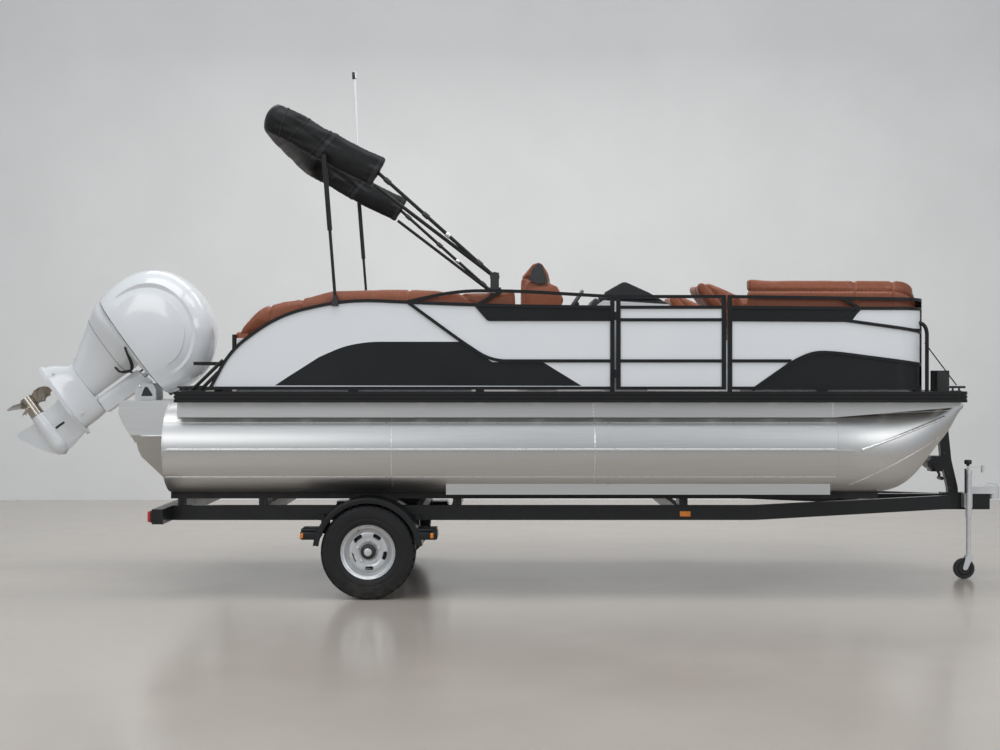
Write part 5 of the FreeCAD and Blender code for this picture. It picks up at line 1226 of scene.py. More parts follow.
    def fittings(self) -> None:
        """Lug nuts and the valve."""
        bm = bmesh.new()
        for index in range(self.nuts):
            angle = math.tau * index / self.nuts + 0.3
            arm = Vector((math.cos(angle), 0, math.sin(angle))) * self.nut_circle
            rod(bm, self.spot(0.03) + arm, self.spot(0.05) + arm, 0.0115, 6, 0.0015)
            rod(bm, self.spot(0.05) + arm, self.spot(0.056) + arm, 0.0075, 12, 0.002, 0.004)
        self.fitted(bm, "lug_nuts", BRIGHT_STEEL)
        bm = bmesh.new()
        stem = Vector((math.cos(2.0), 0, math.sin(2.0))) * 0.166
        rod(bm, self.spot(0.028) + stem, self.spot(0.062) + stem * 0.97, 0.004, 12, 0.001)
        self.fitted(bm, "valve", DARK_RUBBER)

    def build(self) -> None:
        """Make the tyre, the rim and the fittings."""
        self.tyre()
        self.disc()
        self.turned_parts()
        self.fittings()


@dataclass
class TrailerTrim:
    """Lamps, steps, fender lips, bolts and straps of the trailer."""

    rear: float = -2.435
    lamp_half: float = 1.28
    lamp_width: float = 0.17
    tail_ribs: int = 6
    rail_face: float = 0.98
    side_lamp: tuple[float, float] = (1.248, 1.324)
    side_ribs: int = 8
    fender_lamps: tuple[float, ...] = (-1.411, -0.504)
    step_pads: tuple[float, ...] = (-1.402, -0.604)
    step_span: tuple[float, float] = (1.0, 1.21)
    treads: int = 9
    boxes: tuple[tuple[float, float], ...] = ((-1.423, -1.288), (-0.612, -0.466))
    arch: Point = (-0.952, 0.0, 0.3315)
    lip: tuple[tuple[float, float], ...] = (
        (0.343, 1.2125), (0.346, 1.2088), (0.372, 1.2086), (0.378, 1.2035), (0.3835, 1.2035),
        (0.3835, 1.2088), (0.380, 1.2138), (0.374, 1.2152), (0.346, 1.2155))
    lip_begin: float = math.radians(7.5)
    lip_sweep: float = math.radians(165)
    bolt_face: float = 0.9795
    bracket_bolts: tuple[float, ...] = (-2.32, -1.745, -0.365, 1.245)
    fender_bolts: tuple[float, ...] = (-1.275, -0.63)
    post_bolts: tuple[float, ...] = (0.69, 0.8, 0.96, 1.1)

    def lamps(self) -> None:
        """Tail lamps and amber side lamps with their housings."""
        red, amber, shell = bmesh.new(), bmesh.new(), bmesh.new()
        back, face = self.rear, self.rail_face
        inner, outer = self.lamp_half - self.lamp_width, self.lamp_half
        first, last = self.side_lamp
        for _, sign in SIDES:
            side_slab(shell, sign, (back - 0.012, inner, 0.546), (back, outer, 0.63), 0.006)
            side_slab(red, sign, (back - 0.033, inner + 0.004, 0.55),
                      (back - 0.011, outer - 0.004, 0.626), 0.009, 4)
            for step in range(1, self.tail_ribs):
                y = inner + self.lamp_width * step / self.tail_ribs
                side_slab(red, sign, (back - 0.0338, y - 0.001, 0.556),
                          (back - 0.03, y + 0.001, 0.62), 0.0006, 1)
            side_slab(shell, sign, (first - 0.005, face, 0.558), (last + 0.005, face + 0.004, 0.604),
                      0.003)
            side_slab(amber, sign, (first, face + 0.003, 0.562), (last, face + 0.0138, 0.6), 0.006, 4)
            for step in range(1, self.side_ribs):
                x = first + (last - first) * step / self.side_ribs
                side_slab(amber, sign, (x - 0.0012, face + 0.012, 0.566),
                          (x + 0.0012, face + 0.0145, 0.596), 0.0006, 1)
            for x in self.fender_lamps:
                side_slab(amber, sign, (x - 0.0115, 1.196, 0.432), (x + 0.0115, 1.2185, 0.468),
                          0.005, 4)
        finished(red, "tail_lenses", RED_LENS, "boat", ("trailer_lamps",))
        finished(amber, "side_lenses", AMBER_LENS, "boat", ("trailer_lamps",))
        finished(shell, "lamp_shells", BLACK_MOULD, "boat", ("trailer_lamps",))

    def steps(self) -> None:
        """Ribbed pads and chamfered boxes of the steps before and behind the wheels."""
        ribs, boxes = bmesh.new(), bmesh.new()
        near, far = self.step_span
        for _, sign in SIDES:
            for x in self.step_pads:
                for index in range(self.treads):
                    y = near + (far - near) * (index + 0.5) / self.treads
                    side_slab(ribs, sign, (x + 0.008, y - 0.007, 0.4872),
                              (x + 0.087, y + 0.007, 0.4912), 0.0018, 2)
            for low, high in self.boxes:
                side_slab(boxes, sign, (low, 1.0, 0.42), (high, 1.212, 0.4812), 0.014, 3)
                side_slab(boxes, sign, (low + 0.006, 1.006, 0.4812), (high - 0.006, 1.206, 0.497),
                          0.008, 3)
        finished(ribs, "step_treads", DARK_RUBBER, "boat")
        finished(boxes, "step_housings", TRAILER_ENAMEL, "boat")

    def fender_lips(self) -> None:
        """Rolled lips round the fenders' arches."""
        bm = bmesh.new()
        for _, sign in SIDES:
            lathe(bm, [*self.lip, self.lip[0]], self.arch, sign, 56, self.lip_begin,
                  -sign * self.lip_sweep)
        bmesh.ops.remove_doubles(bm, verts=bm.verts, dist=1e-5)
        bmesh.ops.holes_fill(bm, edges=bm.edges[:], sides=0)
        finished(bm, "fender_lips", TRAILER_ENAMEL, "boat", crease=50)

    def bolts(self) -> None:
        """Bolt heads on the frame, the fenders and the winch post, and the jack's knob."""
        bm = bmesh.new()
        for _, sign in SIDES:
            for x in self.bracket_bolts:
                for shift in (0.015, 0.045):
                    for level in (0.652, 0.676):
                        head(bm, sign, (x + shift, self.bolt_face, level), 0.007, 0.0085)
            for x in self.fender_bolts:
                for shift in (-0.012, 0.012):
                    head(bm, sign, (x + shift, self.bolt_face, 0.585), 0.006, 0.008)
        for level in self.post_bolts:
            head(bm, -1, (3.47 - (level - 0.65) * 0.17, 0.0295, level), 0.008, 0.011, bevel=0.0015)
        rod(bm, (3.575, -0.125, 0.866), (3.575, -0.125, 0.882), 0.012, 20, 0.002)
        rod(bm, (3.575, -0.125, 0.88), (3.575, -0.125, 0.915), 0.028, 28, 0.008)
        rod(bm, (3.545, -0.16, 0.66), (3.545, -0.16, 0.85), 0.008, 16, 0.002)
        finished(bm, "frame_bolts", BLACK_MOULD, "boat")

    @staticmethod
    def straps() -> None:
        """Winch strap from its drum to the bow eye, and the black tie at the corner."""
        for name, corners, thickness in (
                ("winch_strap", ((3.275, -0.024, 0.918), (3.275, 0.024, 0.918),
                                 (3.258, 0.024, 1.145), (3.258, -0.024, 1.145)), (0.003, 0, 0.0005)),
                ("corner_tie", ((2.93, -1.2, 1.79), (2.93, -1.178, 1.79),
                                (3.15, -1.178, 1.497), (3.15, -1.2, 1.497)), (0.0025, 0, 0.0015))):
            bm = bmesh.new()
            plate(bm, corners, thickness)
            finished(bm, name, STRAP_WEB, "boat")

    def build(self) -> None:
        """Make all the trim."""
        self.lamps()
        self.steps()
        self.fender_lips()
        self.bolts()
        self.straps()


# Hull and fence
@dataclass(frozen=True)
class FastenerRow:
    """A row of like heads along both sides of the boat."""

    name: str
    first: float
    pitch: float
    count: int
    face: float
    level: float
    height: float
    radius: float
    tip: float
    finish: Finish
    slot: str


@dataclass
class HullTrim:
    """Seams, rails and fasteners of the hull, and the hoops, braces and wedges of its fence."""

    tube_middle: float = 0.95
    tube_height: float = 1.0535
    seam_reach: float = 0.3178
    seam_span: tuple[float, float] = (-2.36, 2.31)
    seam_turns: tuple[int, ...] = (35, -38)
    ring_places: tuple[float, ...] = (-0.784, 0.627)
    fin_span: tuple[float, float] = (-2.33, 2.29)
    skirt_face: float = 1.1895
    skirt_joints: tuple[float, ...] = (0.62, 2.29)
    brace_place: float = 1.235
    braces: tuple[tuple[tuple[float, float], tuple[float, float]], ...] = (
        ((-2.178, 1.452), (-1.951, 1.672)), ((-2.118, 1.452), (-1.985, 1.588)))
    corner: tuple[float, float] = (2.726, 1.04)
    wedge_foot: float = 2.40
    wedge_top: float = 2.038
    rows: tuple[FastenerRow, ...] = (
        FastenerRow("skirt_rivets", -2.2, 0.2, 27, 1.1895, 1.364, 0.0022, 0.0048, 0.003,
                    PLAIN_ALUMINIUM, "bright_aluminium"),
        FastenerRow("rail_screws", -2.15, 0.3, 18, 1.2925, 1.441, 0.002, 0.006, 0.004,
                    BLACK_MOULD, "black_plastic"))

    def on_tube(self, x: float, turn: float, sign: int) -> Vector:
        """A point on a tube's skin, turned up from its outer side by degrees.

        Args:
            x: Place along the boat.
            turn: The turn in degrees.
            sign: The tube's side.

        Returns:
            The point.
        """
        angle = math.radians(turn)
        return Vector((x, sign * (self.tube_middle + math.cos(angle) * self.seam_reach),
                       self.tube_height + math.sin(angle) * self.seam_reach))

    def tube_seams(self) -> None:
        """Weld lines along and round the tubes."""
        bm = bmesh.new()
        for _, sign in SIDES:
            for turn in self.seam_turns:
                rod(bm, *(self.on_tube(x, turn, sign) for x in self.seam_span), 0.0022, 8)
            for place in self.ring_places:
                for turn in range(-58, 60, 6):
                    rod(bm, *(self.on_tube(place, end, sign) for end in (turn, turn + 6)), 0.0034, 8)
        finished(bm, "tube_welds", BRIGHT_BEAD, "boat")

    def fins(self) -> None:
        """The bead along each tube's outer side, and under it a thin dark rod that is a painted shadow
        of the bead.
        """
        for name, y, z, radius, steps, finish, slot in (
                ("fin_beads", 1.2875, 1.0545, 0.0052, 12, BRIGHT_BEAD, "bright_aluminium"),
                # This dark rod is a painted shadow: it stands for the shade that falls under the fin
                # bead.
                ("fin_painted_shadows", 1.281, 1.0445, 0.0042, 10, DARK_RUBBER, "black_rubber")):
            bm = bmesh.new()
            for _, sign in SIDES:
                rod(bm, *((x, sign * y, z) for x in self.fin_span), radius, steps)
            finished(bm, name, finish, "boat")

    @staticmethod
    def skin_point(node: str, x: float, z: float, sign: int) -> Vector | None:
        """Where a level line across the hull meets a node's outer skin.

        Args:
            node: The node's name.
            x: Place along the boat.
            z: Height.
            sign: The side that the line comes from.

        Returns:
            The point, or None where the line misses.
        """
        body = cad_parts[node]
        hit, spot, _, _ = body.ray_cast(Vector((x, sign * 2.0, z)), Vector((0, -sign, 0)))
        return spot if hit else None

    def nose_rails(self) -> None:
        """Spray rails, crease beads and bosses on the noses."""
        rail, bead, boss = bmesh.new(), bmesh.new(), bmesh.new()
        for side, sign in SIDES:
            node = "tube_" + side
            for start, end, radius, target in (
                    ((2.475, 1.048), (3.105, 1.272), 0.0105, rail),
                    ((2.42, 0.80), (3.02, 1.105), 0.0022, bead),
                    ((2.335, 1.285), (3.15, 1.318), 0.0026, bead)):
                points = []
                for step in range(15):
                    share = step / 14
                    spot = self.skin_point(node, start[0] + (end[0] - start[0]) * share,
                                           start[1] + (end[1] - start[1]) * share, sign)
                    if spot:
                        points.append(spot)
                for first, second in zip(points[:-1], points[1:]):
                    rod(target, first, second, radius, 10)
            spot = self.skin_point(node, 3.045, 1.118, sign)
            if spot:
                away = Vector((0.25, sign, -0.3)).normalized()
                rod(boss, spot - away * 0.006, spot + away * 0.004, 0.017, 28, 0.0015)
                rod(boss, spot + away * 0.003, spot + away * 0.008, 0.009, 20, 0.0015)
        finished(rail, "spray_rails", BRIGHT_BEAD, "boat", crease=50)
        finished(bead, "nose_beads", BRIGHT_BEAD, "boat", crease=50)
        finished(boss, "nose_bosses", PLAIN_ALUMINIUM, "boat")

    def pod_trim(self) -> None:
        """Spray plates and the sounder on the motor pod, and the joints of the skirts."""
        bm = bmesh.new()
        for _, sign in SIDES:
            side_slab(bm, sign, (-2.7, 0.46, 1.112), (-2.53, 0.53, 1.119), 0.002, 2)
            for x in self.skirt_joints:
                side_slab(bm, sign, (x - 0.004, self.skirt_face, 1.276),
                          (x + 0.004, self.skirt_face + 0.002, 1.375), 0.0008, 1)
        finished(bm, "pod_plates", BRIGHT_BEAD, "boat")
        bm = bmesh.new()
        slab(bm, (-2.665, -0.2, 0.84), (-2.62, -0.15, 0.875), 0.008, 3)
        finished(bm, "sounder", BLACK_MOULD, "boat")

    @staticmethod
    def bow_hoops() -> None:
        """Black hoop tubes that stand before the bow corners."""
        for side, sign in SIDES:
            tube("bow_hoop_" + side, [(2.903, sign * 1.13, 1.935), (2.93, sign * 1.145, 1.93),
                                      (2.957, sign * 1.15, 1.885), (2.957, sign * 1.15, 1.80),
                                      (2.957, sign * 1.15, 1.449)], 0.0135, FRAME_COAT, "boat")

    def stern_braces(self) -> None:
        """Slanting black bars from the deck's stern corners to the arch rails."""
        bm = bmesh.new()
        for _, sign in SIDES:
            for ends in self.braces:
                rod(bm, *((x, sign * self.brace_place, z) for x, z in ends), 0.0125, 20, 0.002)
            side_slab(bm, sign, (-2.2, self.brace_place - 0.025, 1.45),
                      (-2.08, self.brace_place + 0.025, 1.462), 0.003)
        finished(bm, "stern_braces", FRAME_COAT, "boat")

    def bow_wedges(self) -> None:
        """White sheets round the bow corners, above the slanting rail, with pointed aft ends."""
        bm = bmesh.new()
        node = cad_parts["black_panels"]
        for _, sign in SIDES:
            corner = Vector((self.corner[0], sign * self.corner[1], 0))
            straight = [(Vector((x, 2.0 * sign, 0)), Vector((0, sign, 0)))
                        for x in (self.wedge_foot, 2.44, 2.48, 2.6, 2.7)]
            ways = [Vector((math.sin(angle), sign * math.cos(angle), 0))
                    for angle in (math.radians(turn) for turn in range(0, 91, 9))]
            columns = []
            for start, way in straight + [(corner + way * 0.6, way) for way in ways]:
                hit, spot, _, _ = node.ray_cast(start + Vector((0, 0, 1.965)), -way)
                if not hit:
                    continue
                out = spot + way * 0.0022
                top = min(self.wedge_top, 1.93 + (out.x - self.wedge_foot) * 1.35)
                low = 1.915 if out.x < 2.5 else 1.892
                columns.append([bm.verts.new((out.x, out.y, level))
                                for level in (low, max(top, low + 0.004))])
            made = [bm.faces.new((first[0], second[0], second[1], first[1]))
                    for first, second in zip(columns[:-1], columns[1:])]
            for face in made:
                face.normal_update()
                if face.normal.y * sign < 0 or (abs(face.normal.y) < 0.05 and face.normal.x < 0):
                    face.normal_flip()
            bmesh.ops.solidify(bm, geom=made, thickness=0.0018)
        finished(bm, "bow_wedges", WHITE_SHEET, "boat", crease=40)

    def fasteners(self) -> None:
        """Rivets along the skirts and screws along the rub rail."""
        for row in self.rows:
            bm = bmesh.new()
            for _, sign in SIDES:
                for index in range(row.count):
                    head(bm, sign, (row.first + index * row.pitch, row.face, row.level), row.height,
                         row.radius, 10, 0.0008, row.tip)
            finished(bm, row.name, row.finish, "boat")

    def build(self) -> None:
        """Make the trim."""
        self.tube_seams()
        self.fins()
        self.nose_rails()
        self.pod_trim()
        self.bow_hoops()
        self.bow_wedges()
        self.stern_braces()
        self.fasteners()


@dataclass
class HelmTrim:
    """Dash hood, throttle and the chair's dark insets."""

    middle: float = -0.72
    hood_half: float = 0.3
    hood_lean: float = math.radians(28)
    chair: float = -0.62
    wing: float = 0.241
    inset: tuple[tuple[float, float], ...] = (
        (0.175, 2.25), (0.205, 2.335), (0.243, 2.372), (0.272, 2.36), (0.296, 2.29), (0.318, 2.232),
        (0.25, 2.222))

    def dash(self) -> None:
        """Dark dash hood."""
        bm = bmesh.new()
        slab(bm, (0.622, self.middle - self.hood_half, 2.035),
             (0.668, self.middle + self.hood_half, 2.112), 0.014, 4,
             Matrix.Rotation(self.hood_lean, 4, "Y"))
        finished(bm, "dash_hood", BLACK_MOULD, "boat")

    def throttle(self) -> None:
        """Throttle box with its lever and grip."""
        bm = bmesh.new()
        slab(bm, (0.6, self.middle + 0.22, 1.93), (0.655, self.middle + 0.3, 2.03), 0.012, 3)
        lever = self.middle + 0.26
        rod(bm, (0.6, lever, 2.0), (0.545, lever, 2.1), 0.011, 16, 0.004)
        rod(bm, (0.545, lever - 0.025, 2.1), (0.545, lever + 0.025, 2.1), 0.016, 16, 0.005)
        finished(bm, "throttle", BLACK_MOULD, "boat")

    def insets(self) -> None:
        """Dark leather insets on the chair's wings."""
        bm = bmesh.new()
        for _, sign in SIDES:
            plate(bm, [(x, self.chair + sign * self.wing, z) for x, z in self.inset],
                  (0, sign * -0.012, 0))
        finished(bm, "chair_insets", DARK_LEATHER, "chair", crease=50)

    def build(self) -> None:
        """Make the trim."""
        self.dash()
        self.throttle()
        self.insets()


@dataclass
class BiminiTrim:
    """The folded canopy's boot with its straps and piping, and the arms' fittings."""

    pivot: tuple[float, float] = (-0.067, 2.253)
    slope: float = math.radians(41.8)
    arm_place: float = 1.165
    clamps: tuple[float, ...] = (0.12, 0.62, 0.98)
    sleeve: float = 0.42
    mast_top: Point = (-1.284, 1.165, 4.172)
    mast_way: Point = (-27, 0, 615)
    fore: tuple[float, float] = (-0.8796, 2.9795)
    lie: float = math.radians(26.1)
    boot_corner: tuple[float, float] = (0.582, 0.905)
    boot_top: float = 3.472
    fold_turn: float = 0.95
    folds: float = 0.01
    gathers: float = 0.011
    gather_reach: float = 0.1
    fine_folds: float = 0.0012
    crest: float = 0.024
    crest_span: tuple[float, float] = (0.3, 0.7)
    sewn: tuple[float, ...] = (0.0, 0.42, 0.64)
    strap_cuts: tuple[tuple[float, float], ...] = ((0.41, 14), (0.02, 4))
    piping_cuts: tuple[tuple[float, float], ...] = ((0.455, 14), (0.64, 20), (0.745, -8))
    strip_lift: float = 0.0035

    @staticmethod
    def rising(angle: float) -> Vector:
        """The direction aft that rises by an angle."""
        return Vector((-math.cos(angle), 0, math.sin(angle)))

    def along(self, spot: Vector) -> tuple[float, float]:
        """Place of a point along the boot from its fore end, and above its middle line.

        Args:
            spot: The point.

        Returns:
            The two distances.
        """
        dx, dz = spot.x - self.fore[0], spot.z - self.fore[1]
        return (-dx * math.cos(self.lie) + dz * math.sin(self.lie),
                dx * math.sin(self.lie) + dz * math.cos(self.lie))

    def squared(self, spot: Vector) -> Vector:
        """Fill a round corner of the boot out towards a square one.

        Args:
            spot: A point of the boot's skin.

        Returns:
            Where it goes.
        """
        run, _ = self.along(spot)
        ahead, aside = run - self.boot_corner[0], abs(spot.y) - self.boot_corner[1]
        if ahead <= 0 or aside <= 0:
            return spot.copy()
        far = math.hypot(ahead, aside)
        grow = (abs(ahead / far) ** 4 + abs(aside / far) ** 4) ** -0.25 - 1
        outwards = Vector((0, math.copysign(aside, spot.y), 0))
        return spot + (self.rising(self.lie) * ahead + outwards) * grow

    def boot(self) -> None:
        """The fabric boot over the folded canopy, with long folds, gathers and sewn strips."""
        soft = SoftPiece("canopy_boot", "bimini_boot", 0, "bimini", voxel=0.015, inset=-0.004)
        soft.start()
        piece = soft.piece
        finer = piece.modifiers.new("finer", "SUBSURF")
        finer.levels = finer.render_levels = 1
        soft.bake(piece)
        mesh = piece.data
        normals = [vert.normal.copy() for vert in mesh.vertices]
        first, last = self.crest_span
        for vert, normal in zip(mesh.vertices, normals):
            run, cross = self.along(vert.co)
            if abs(vert.co.y) < self.fold_turn:
                run, cross = vert.co.y + 2.0, vert.co.z
            fold = noise.noise(Vector((run * 2.4, cross * 13.0, 0.7))) * self.folds
            gather = sum(math.exp(-((run - place) / self.gather_reach) ** 2) for place in self.sewn)
            crease = noise.noise(Vector((run * 7.0 + 3.1, cross * 30.0, 2.0))) * self.gathers
            fine = noise.noise(vert.co * 30.0) * self.fine_folds
            vert.co = self.squared(vert.co)
            vert.co += normal * (fold + gather * crease + fine)
            reach, _ = self.along(vert.co)
            share = max(0.0, min(1.0, (reach - first) / (last - first)))
            vert.co.z = min(vert.co.z + self.crest * share, self.boot_top)
        mesh.shade_smooth()
        placed(piece, BOOT_CLOTH, "bimini", ("bimini_boot",))
        self.strips(mesh, "boot_straps", self.strap_cuts, 0.03)
        self.strips(mesh, "boot_piping", self.piping_cuts, 0.007)

    def strips(self, mesh: bpy.types.Mesh, name: str, cuts: tuple[tuple[float, float], ...],
               width: float) -> None:
        """Cut strips that hug the boot out of its own skin.

        Args:
            mesh: The boot's mesh.
            name: The piece's name.
            cuts: Place of each strip along the boot, and its lean in degrees.
            width: The strips' width.
        """
        bm = bmesh.new()
        for reach, lean in cuts:
            strip = bmesh.new()
            strip.from_mesh(mesh)
            line = self.rising(self.lie + math.radians(lean))
            spot = Vector((self.fore[0], 0, self.fore[1])) + self.rising(self.lie) * reach
            for way in (-1, 1):
                bmesh.ops.bisect_plane(strip, geom=strip.verts[:] + strip.edges[:] + strip.faces[:],
                                       plane_co=spot + line * way * width / 2, plane_no=line * way,
                                       clear_outer=True)
            strip.normal_update()
            for vert in strip.verts:
                vert.co += vert.normal * self.strip_lift
            bmesh.ops.solidify(strip, geom=strip.faces[:], thickness=self.strip_lift * 0.8)
            part = bpy.data.meshes.new(name + "_part")
            strip.to_mesh(part)
            strip.free()
            bm.from_mesh(part)
            bpy.data.meshes.remove(part)
        finished(bm, name, STRAP_WEB, "bimini", crease=60)

    def fittings(self) -> None:
        """Clamps, sleeves and hinges of the folded arms."""
        dark, bright = bmesh.new(), bmesh.new()
        line = self.rising(self.slope)
        for _, sign in SIDES:
            y = sign * self.arm_place
            hinge = Vector((self.pivot[0], y, self.pivot[1]))
            for reach in self.clamps:
                rod(dark, hinge + line * reach, hinge + line * (reach + 0.05), 0.0185, 20, 0.003)
            rod(bright, hinge + line * self.sleeve, hinge + line * (self.sleeve + 0.035), 0.0165, 20,
                0.002)
            outwards = Vector((0, sign, 0))
            rod(dark, hinge - outwards * 0.026, hinge + outwards * 0.026, 0.034, 28, 0.005)
            rod(bright, hinge + outwards * 0.024, hinge + outwards * 0.033, 0.012, 6, 0.002)
        finished(dark, "arm_clamps", BLACK_MOULD, "bimini")
        finished(bright, "arm_sleeves", BRIGHT_STEEL, "bimini")

    def mast(self) -> None:
        """The light pole's black tip."""
        bm = bmesh.new()
        top, line = Vector(self.mast_top), Vector(self.mast_way).normalized()
        rod(bm, top - line * 0.062, top - line * 0.002, 0.0182, 28, 0.004)
        finished(bm, "mast_tip", BLACK_MOULD, "bimini")

    def build(self) -> None:
        """Make the canopy's pieces."""
        self.boot()
        self.fittings()
        self.mast()


# Outboard
@dataclass
class OutboardTrim:
    """Cowl, midsection, latch, hoses and fasteners of the outboard.

    The pin and the clamps' face are metres in the boat's frame. The cowl's sizes are millimetres from
    the pin, with the outboard upright.
    """

    pin: tuple[float, float] = (-2.764, 1.436)
    tilt: float = math.radians(54)
    clamp_face: float = 0.1251
    middle: tuple[float, float] = (-343.0, 300.0)
    half: float = 298.0
    squareness: float = 3.2
    section_squareness: float = 2.5
    band: float = 11.0
    band_marks: tuple[float, ...] = (49.4, 50.6, 54.0, 60.5, 62.0)
    around: int = 96
    outline: tuple[tuple[float, float], ...] = (
        (-802, 171), (-817, 301), (-807, 441), (-753, 567), (-664, 669), (-548, 733), (-395, 769),
        (-244, 760), (-125, 721), (-17, 641), (73, 538), (123, 428), (131, 312), (118, 192),
        (84, 60), (-60, -70), (-343, -110), (-620, -60), (-770, 60))

    def world(self, forward: float, aside: float, up: float) -> Vector:
        """A point of the tilted outboard from its upright place, in millimetres.

        Args:
            forward: Distance before the pin.
            aside: Distance to port.
            up: Distance above the pin.

        Returns:
            The point in the frame's metres.
        """
        a, b = forward * MM, up * MM
        return Vector((self.pin[0] + a * math.cos(self.tilt) + b * math.sin(self.tilt), aside * MM,
                       self.pin[1] - a * math.sin(self.tilt) + b * math.cos(self.tilt)))

    def turned(self, bm: bmesh.types.BMesh) -> bmesh.types.BMesh:
        """Turn a mesh made upright, in metres about the pin, to the tilted place.

        Args:
            bm: The mesh.

        Returns:
            The same mesh.
        """
        place = Matrix.Translation((self.pin[0], 0, self.pin[1])) @ Matrix.Rotation(self.tilt, 4, "Y")
        bmesh.ops.transform(bm, matrix=place, verts=bm.verts)
        return bm

    def latch(self) -> None:
        """Cowl latch at the front, placed in metres from the pin."""
        bm = bmesh.new()
        slab(bm, (0.09, -0.022, 0.12), (0.122, 0.022, 0.205), 0.008, 3)
        slab(bm, (0.108, -0.014, 0.175), (0.13, 0.014, 0.2), 0.006, 3)
        finished(self.turned(bm), "cowl_latch", BLACK_MOULD, "outboard")

    def hoses(self) -> None:
        """Black hoses that loop out of the cowl's sides and back into the midsection."""
        for index, (side, shift) in enumerate(((-1, 0.0), (-1, 14.0), (1, 0.0))):
            line = ((-351, 262, 104), (-300, 262, 88), (-238, 205, 74 - shift), (-190, 170, 40 - shift),
                    (-196 - shift, 150, -10), (-224 - shift, 140, -52 - shift), (-262, 126, -72),
                    (-320, 105, -80))
            tube("engine_hose_%d" % index, [tuple(self.world(a, side * y, b)) for a, y, b in line],
                 0.0075, DARK_RUBBER, "outboard")

    def reach(self, turn: float) -> float:
        """Distance from the cowl's middle to its side outline.

        Args:
            turn: Direction in the side plane, in radians up from forward.

        Returns:
            The distance in millimetres.
        """
        total = 0.0
        for step in range(-3, 4):
            way = Vector((math.cos(turn + step * 0.05), math.sin(turn + step * 0.05)))
            far = 0.0
            for first, second in zip(self.outline, self.outline[1:] + self.outline[:1]):
                hit = geometry.intersect_line_line_2d(Vector((0, 0)), way * 2000,
                                                      Vector(first) - Vector(self.middle),
                                                      Vector(second) - Vector(self.middle))
                if hit:
                    far = max(far, hit.length)
            total += far / 7
        return total

    def shell(self, low: float, high: float, inset: float) -> bmesh.types.BMesh:
        """The cowl's rounded body between two levels, with a raised band round its edge.

        Args:
            low: Lower cut in metres above the pin.
            high: Upper cut.
            inset: How far the skin lies inside the full body, in millimetres.

        Returns:
            A closed mesh in the outboard's upright frame.
        """
        bm = bmesh.new()
        even = [-90 + 6 * step for step in range(1, 30)]
        slopes = sorted([slope for slope in even if abs(abs(slope) - 56) > 9]
                        + [sign * mark for sign in (-1, 1) for mark in self.band_marks])
        centre = Vector((self.middle[0], 0, self.middle[1]))
        half = self.half - inset
        ways = []
        for step in range(self.around):
            turn = math.tau * step / self.around
            facing = max(0.0, min(1.0, (math.cos(turn - math.radians(62)) + 0.25) * 1.6))
            dent = max(0.0, 1 - ((math.degrees(turn) - 146) / 48) ** 2,
                       0.45 - 0.45 * ((math.degrees(turn) - 50) / 78) ** 2)
            ways.append((Vector((math.cos(turn), 0, math.sin(turn))), self.reach(turn) - inset,
                         self.band * facing, 0.055 * dent))
        rings = []
        for slope in slopes:
            up, out = (rounded(value, self.squareness)
                       for value in (math.sin(math.radians(slope)), math.cos(math.radians(slope))))
            ring = []
            for way, far, band, dent in ways:
                sunk = 1 - dent if 50.5 < abs(slope) < 61 else 1.0
                reach = far * out + (band if abs(slope) < 50 else 0.0)
                place = centre + (way * reach + Vector((0, half * up, 0))) * sunk
                ring.append(bm.verts.new(place * MM))
            rings.append(ring)
        skin(bm, rings)
        for sign, ring in ((-1, rings[0]), (1, rings[-1])):
            pole = bm.verts.new((centre + Vector((0, sign * half, 0))) * MM)
            for index, vert in enumerate(ring):
                bm.faces.new((pole, vert, ring[(index + 1) % self.around]))
        bmesh.ops.recalc_face_normals(bm, faces=bm.faces)
        for level, way in ((low, -1), (high, 1)):
            cut = bmesh.ops.bisect_plane(bm, geom=bm.verts[:] + bm.edges[:] + bm.faces[:],
                                         plane_co=(0, 0, level), plane_no=(0, 0, way), clear_outer=True)
            rim = [item for item in cut["geom_cut"] if isinstance(item, bmesh.types.BMEdge)]
            if rim:
                bmesh.ops.edgenet_fill(bm, edges=rim)
        return bm

    def cowl(self) -> None:
        """The smooth cowl and the dark seal under it."""
        finished(self.turned(self.shell(0.1405, 2.0, 0.0)), "cowl_body", COWL_PAINT, "outboard",
                 ("engine_cowl",), 24)
        finished(self.turned(self.shell(0.1345, 0.1412, 6.0)), "cowl_seal", DARK_RUBBER, "outboard",
                 crease=50)

    def loft(self, bm: bmesh.types.BMesh, levels: tuple[tuple[float, ...], ...],
             steps: int = 48) -> None:
        """Add a body through level sections.

        Args:
            bm: The mesh that gets it.
            levels: Height, aft end, front end and half width of each section, in millimetres.
            steps: Points round a section.
        """
        turns = [math.tau * step / steps for step in range(steps)]
        power = self.section_squareness
        rings = []
        for level, aft, fore, half in levels:
            middle, reach = (aft + fore) / 2, (fore - aft) / 2
            rings.append([bm.verts.new(Vector((middle + reach * rounded(math.cos(turn), power),
                                               half * rounded(math.sin(turn), power), level)) * MM)
                          for turn in turns])
        skin(bm, rings)
        bm.faces.new(rings[0])
        bm.faces.new(rings[-1])

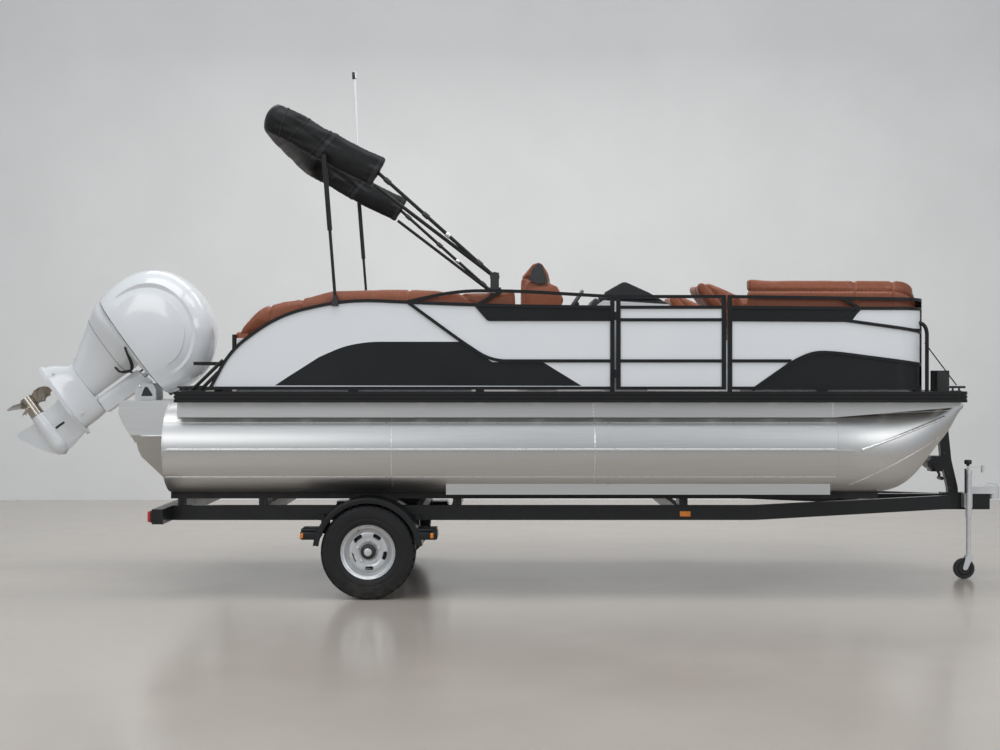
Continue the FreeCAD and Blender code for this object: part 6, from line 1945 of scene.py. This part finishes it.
    def fairing(self) -> None:
        """The smooth midsection under the cowl, down to the vent plate."""
        bm = bmesh.new()
        self.loft(bm, ((134, -797, 88, 262), (126, -797, 62, 262), (112, -795, -8, 258),
                       (98, -792, -80, 254), (84, -788, -150, 248), (70, -783, -198, 240),
                       (50, -776, -218, 228), (20, -760, -219, 206), (-10, -742, -219, 186),
                       (-38, -724, -219, 168), (-70, -703, -219, 150), (-110, -678, -219, 132),
                       (-160, -646, -219, 113), (-215, -611, -219, 98), (-270, -573, -219, 88),
                       (-315, -541, -219, 80), (-350, -524, -219, 76)))
        self.loft(bm, ((-352, -524, -76, 75.5), (-380, -527, -68, 75), (-410, -545, -64, 75),
                       (-450, -578, -62, 76), (-490, -606, -62, 79), (-525, -622, -61, 84),
                       (-554, -630, -60, 90)))
        rod(bm, (-0.125, 0, -0.356), (-0.125, 0, 0.086), 0.0175, 28)
        finished(self.turned(bm), "midsection_fairing", COWL_PAINT, "outboard",
                 ("midsection",), 50)
        bm = bmesh.new()
        self.loft(bm, ((-39.6, -724.6, -217, 168.2), (-36.8, -726, -217, 170.2)))
        finished(self.turned(bm), "fairing_seam", DARK_RUBBER, "outboard")
        bm = bmesh.new()
        self.loft(bm, ((-556, -634, -56, 94), (-549, -634, -56, 94)), steps=40)
        finished(self.turned(bm), "leg_flange", CASTING_PAINT, "outboard")

    def leg_trim(self) -> None:
        """Water inlets, the anode and screws of the gearcase, placed in metres."""
        bm = bmesh.new()
        for _, sign in SIDES:
            side_slab(bm, sign, (-0.205, 0.026, -0.745), (-0.183, 0.0405, -0.66), 0.005, 3)
        finished(self.turned(bm), "water_inlets", BLACK_MOULD, "outboard")
        bm = bmesh.new()
        slab(bm, (-0.56, -0.035, -0.592), (-0.44, 0.035, -0.574), 0.005, 3)
        for _, sign in SIDES:
            for forward, up in ((-0.54, -0.5), (-0.16, -0.5), (-0.54, -0.3)):
                head(bm, sign, (forward, 0.07, up), 0.012, 0.009, 16, 0.002)
        finished(self.turned(bm), "leg_fasteners", ZINC_PLATE, "outboard")

    def clamp_trim(self) -> None:
        """Dark plates painted as the shade in the transom clamps' recesses, and the clamps' bolts,
        placed in metres from the pin.
        """
        recess = ((-0.03, -0.03), (0.052, -0.03), (0.058, -0.02), (0.02, 0.038), (0.008, 0.042),
                  (-0.004, 0.036))
        bolts = ((-0.055, -0.1, 0.012), (-0.055, -0.17, 0.012), (-0.04, 0.045, 0.008))
        dark, bright = bmesh.new(), bmesh.new()
        for _, sign in SIDES:
            # These black plates are painted shade: flat dark sheets laid where the clamps' recesses are
            # shaded.
            plate(dark, [(self.pin[0] + x, sign * self.clamp_face, self.pin[1] + z) for x, z in recess],
                  (0, sign * 0.0015, 0))
            for x, z, radius in bolts:
                head(bright, sign, (self.pin[0] + x, self.clamp_face, self.pin[1] + z), 0.008, radius,
                     6, 0.002)
        finished(dark, "clamp_recess_painted_shade", BLACK_MOULD, "boat")
        finished(bright, "clamp_bolts", BRIGHT_STEEL, "boat")

    def build(self) -> None:
        """Make the outboard's pieces."""
        self.cowl()
        self.fairing()
        self.leg_trim()
        self.clamp_trim()
        self.latch()
        self.hoses()


def main() -> None:
    """Build the scene piece by piece."""
    Studio().build()
    WARDROBE.dress_nodes()
    for side, sign in SIDES:
        RoadWheel(side, sign).build()
    TrailerTrim().build()
    HullTrim().build()
    HelmTrim().build()
    Upholstery().build()
    BiminiTrim().build()
    OutboardTrim().build()


if __name__ == "__main__":
    main()
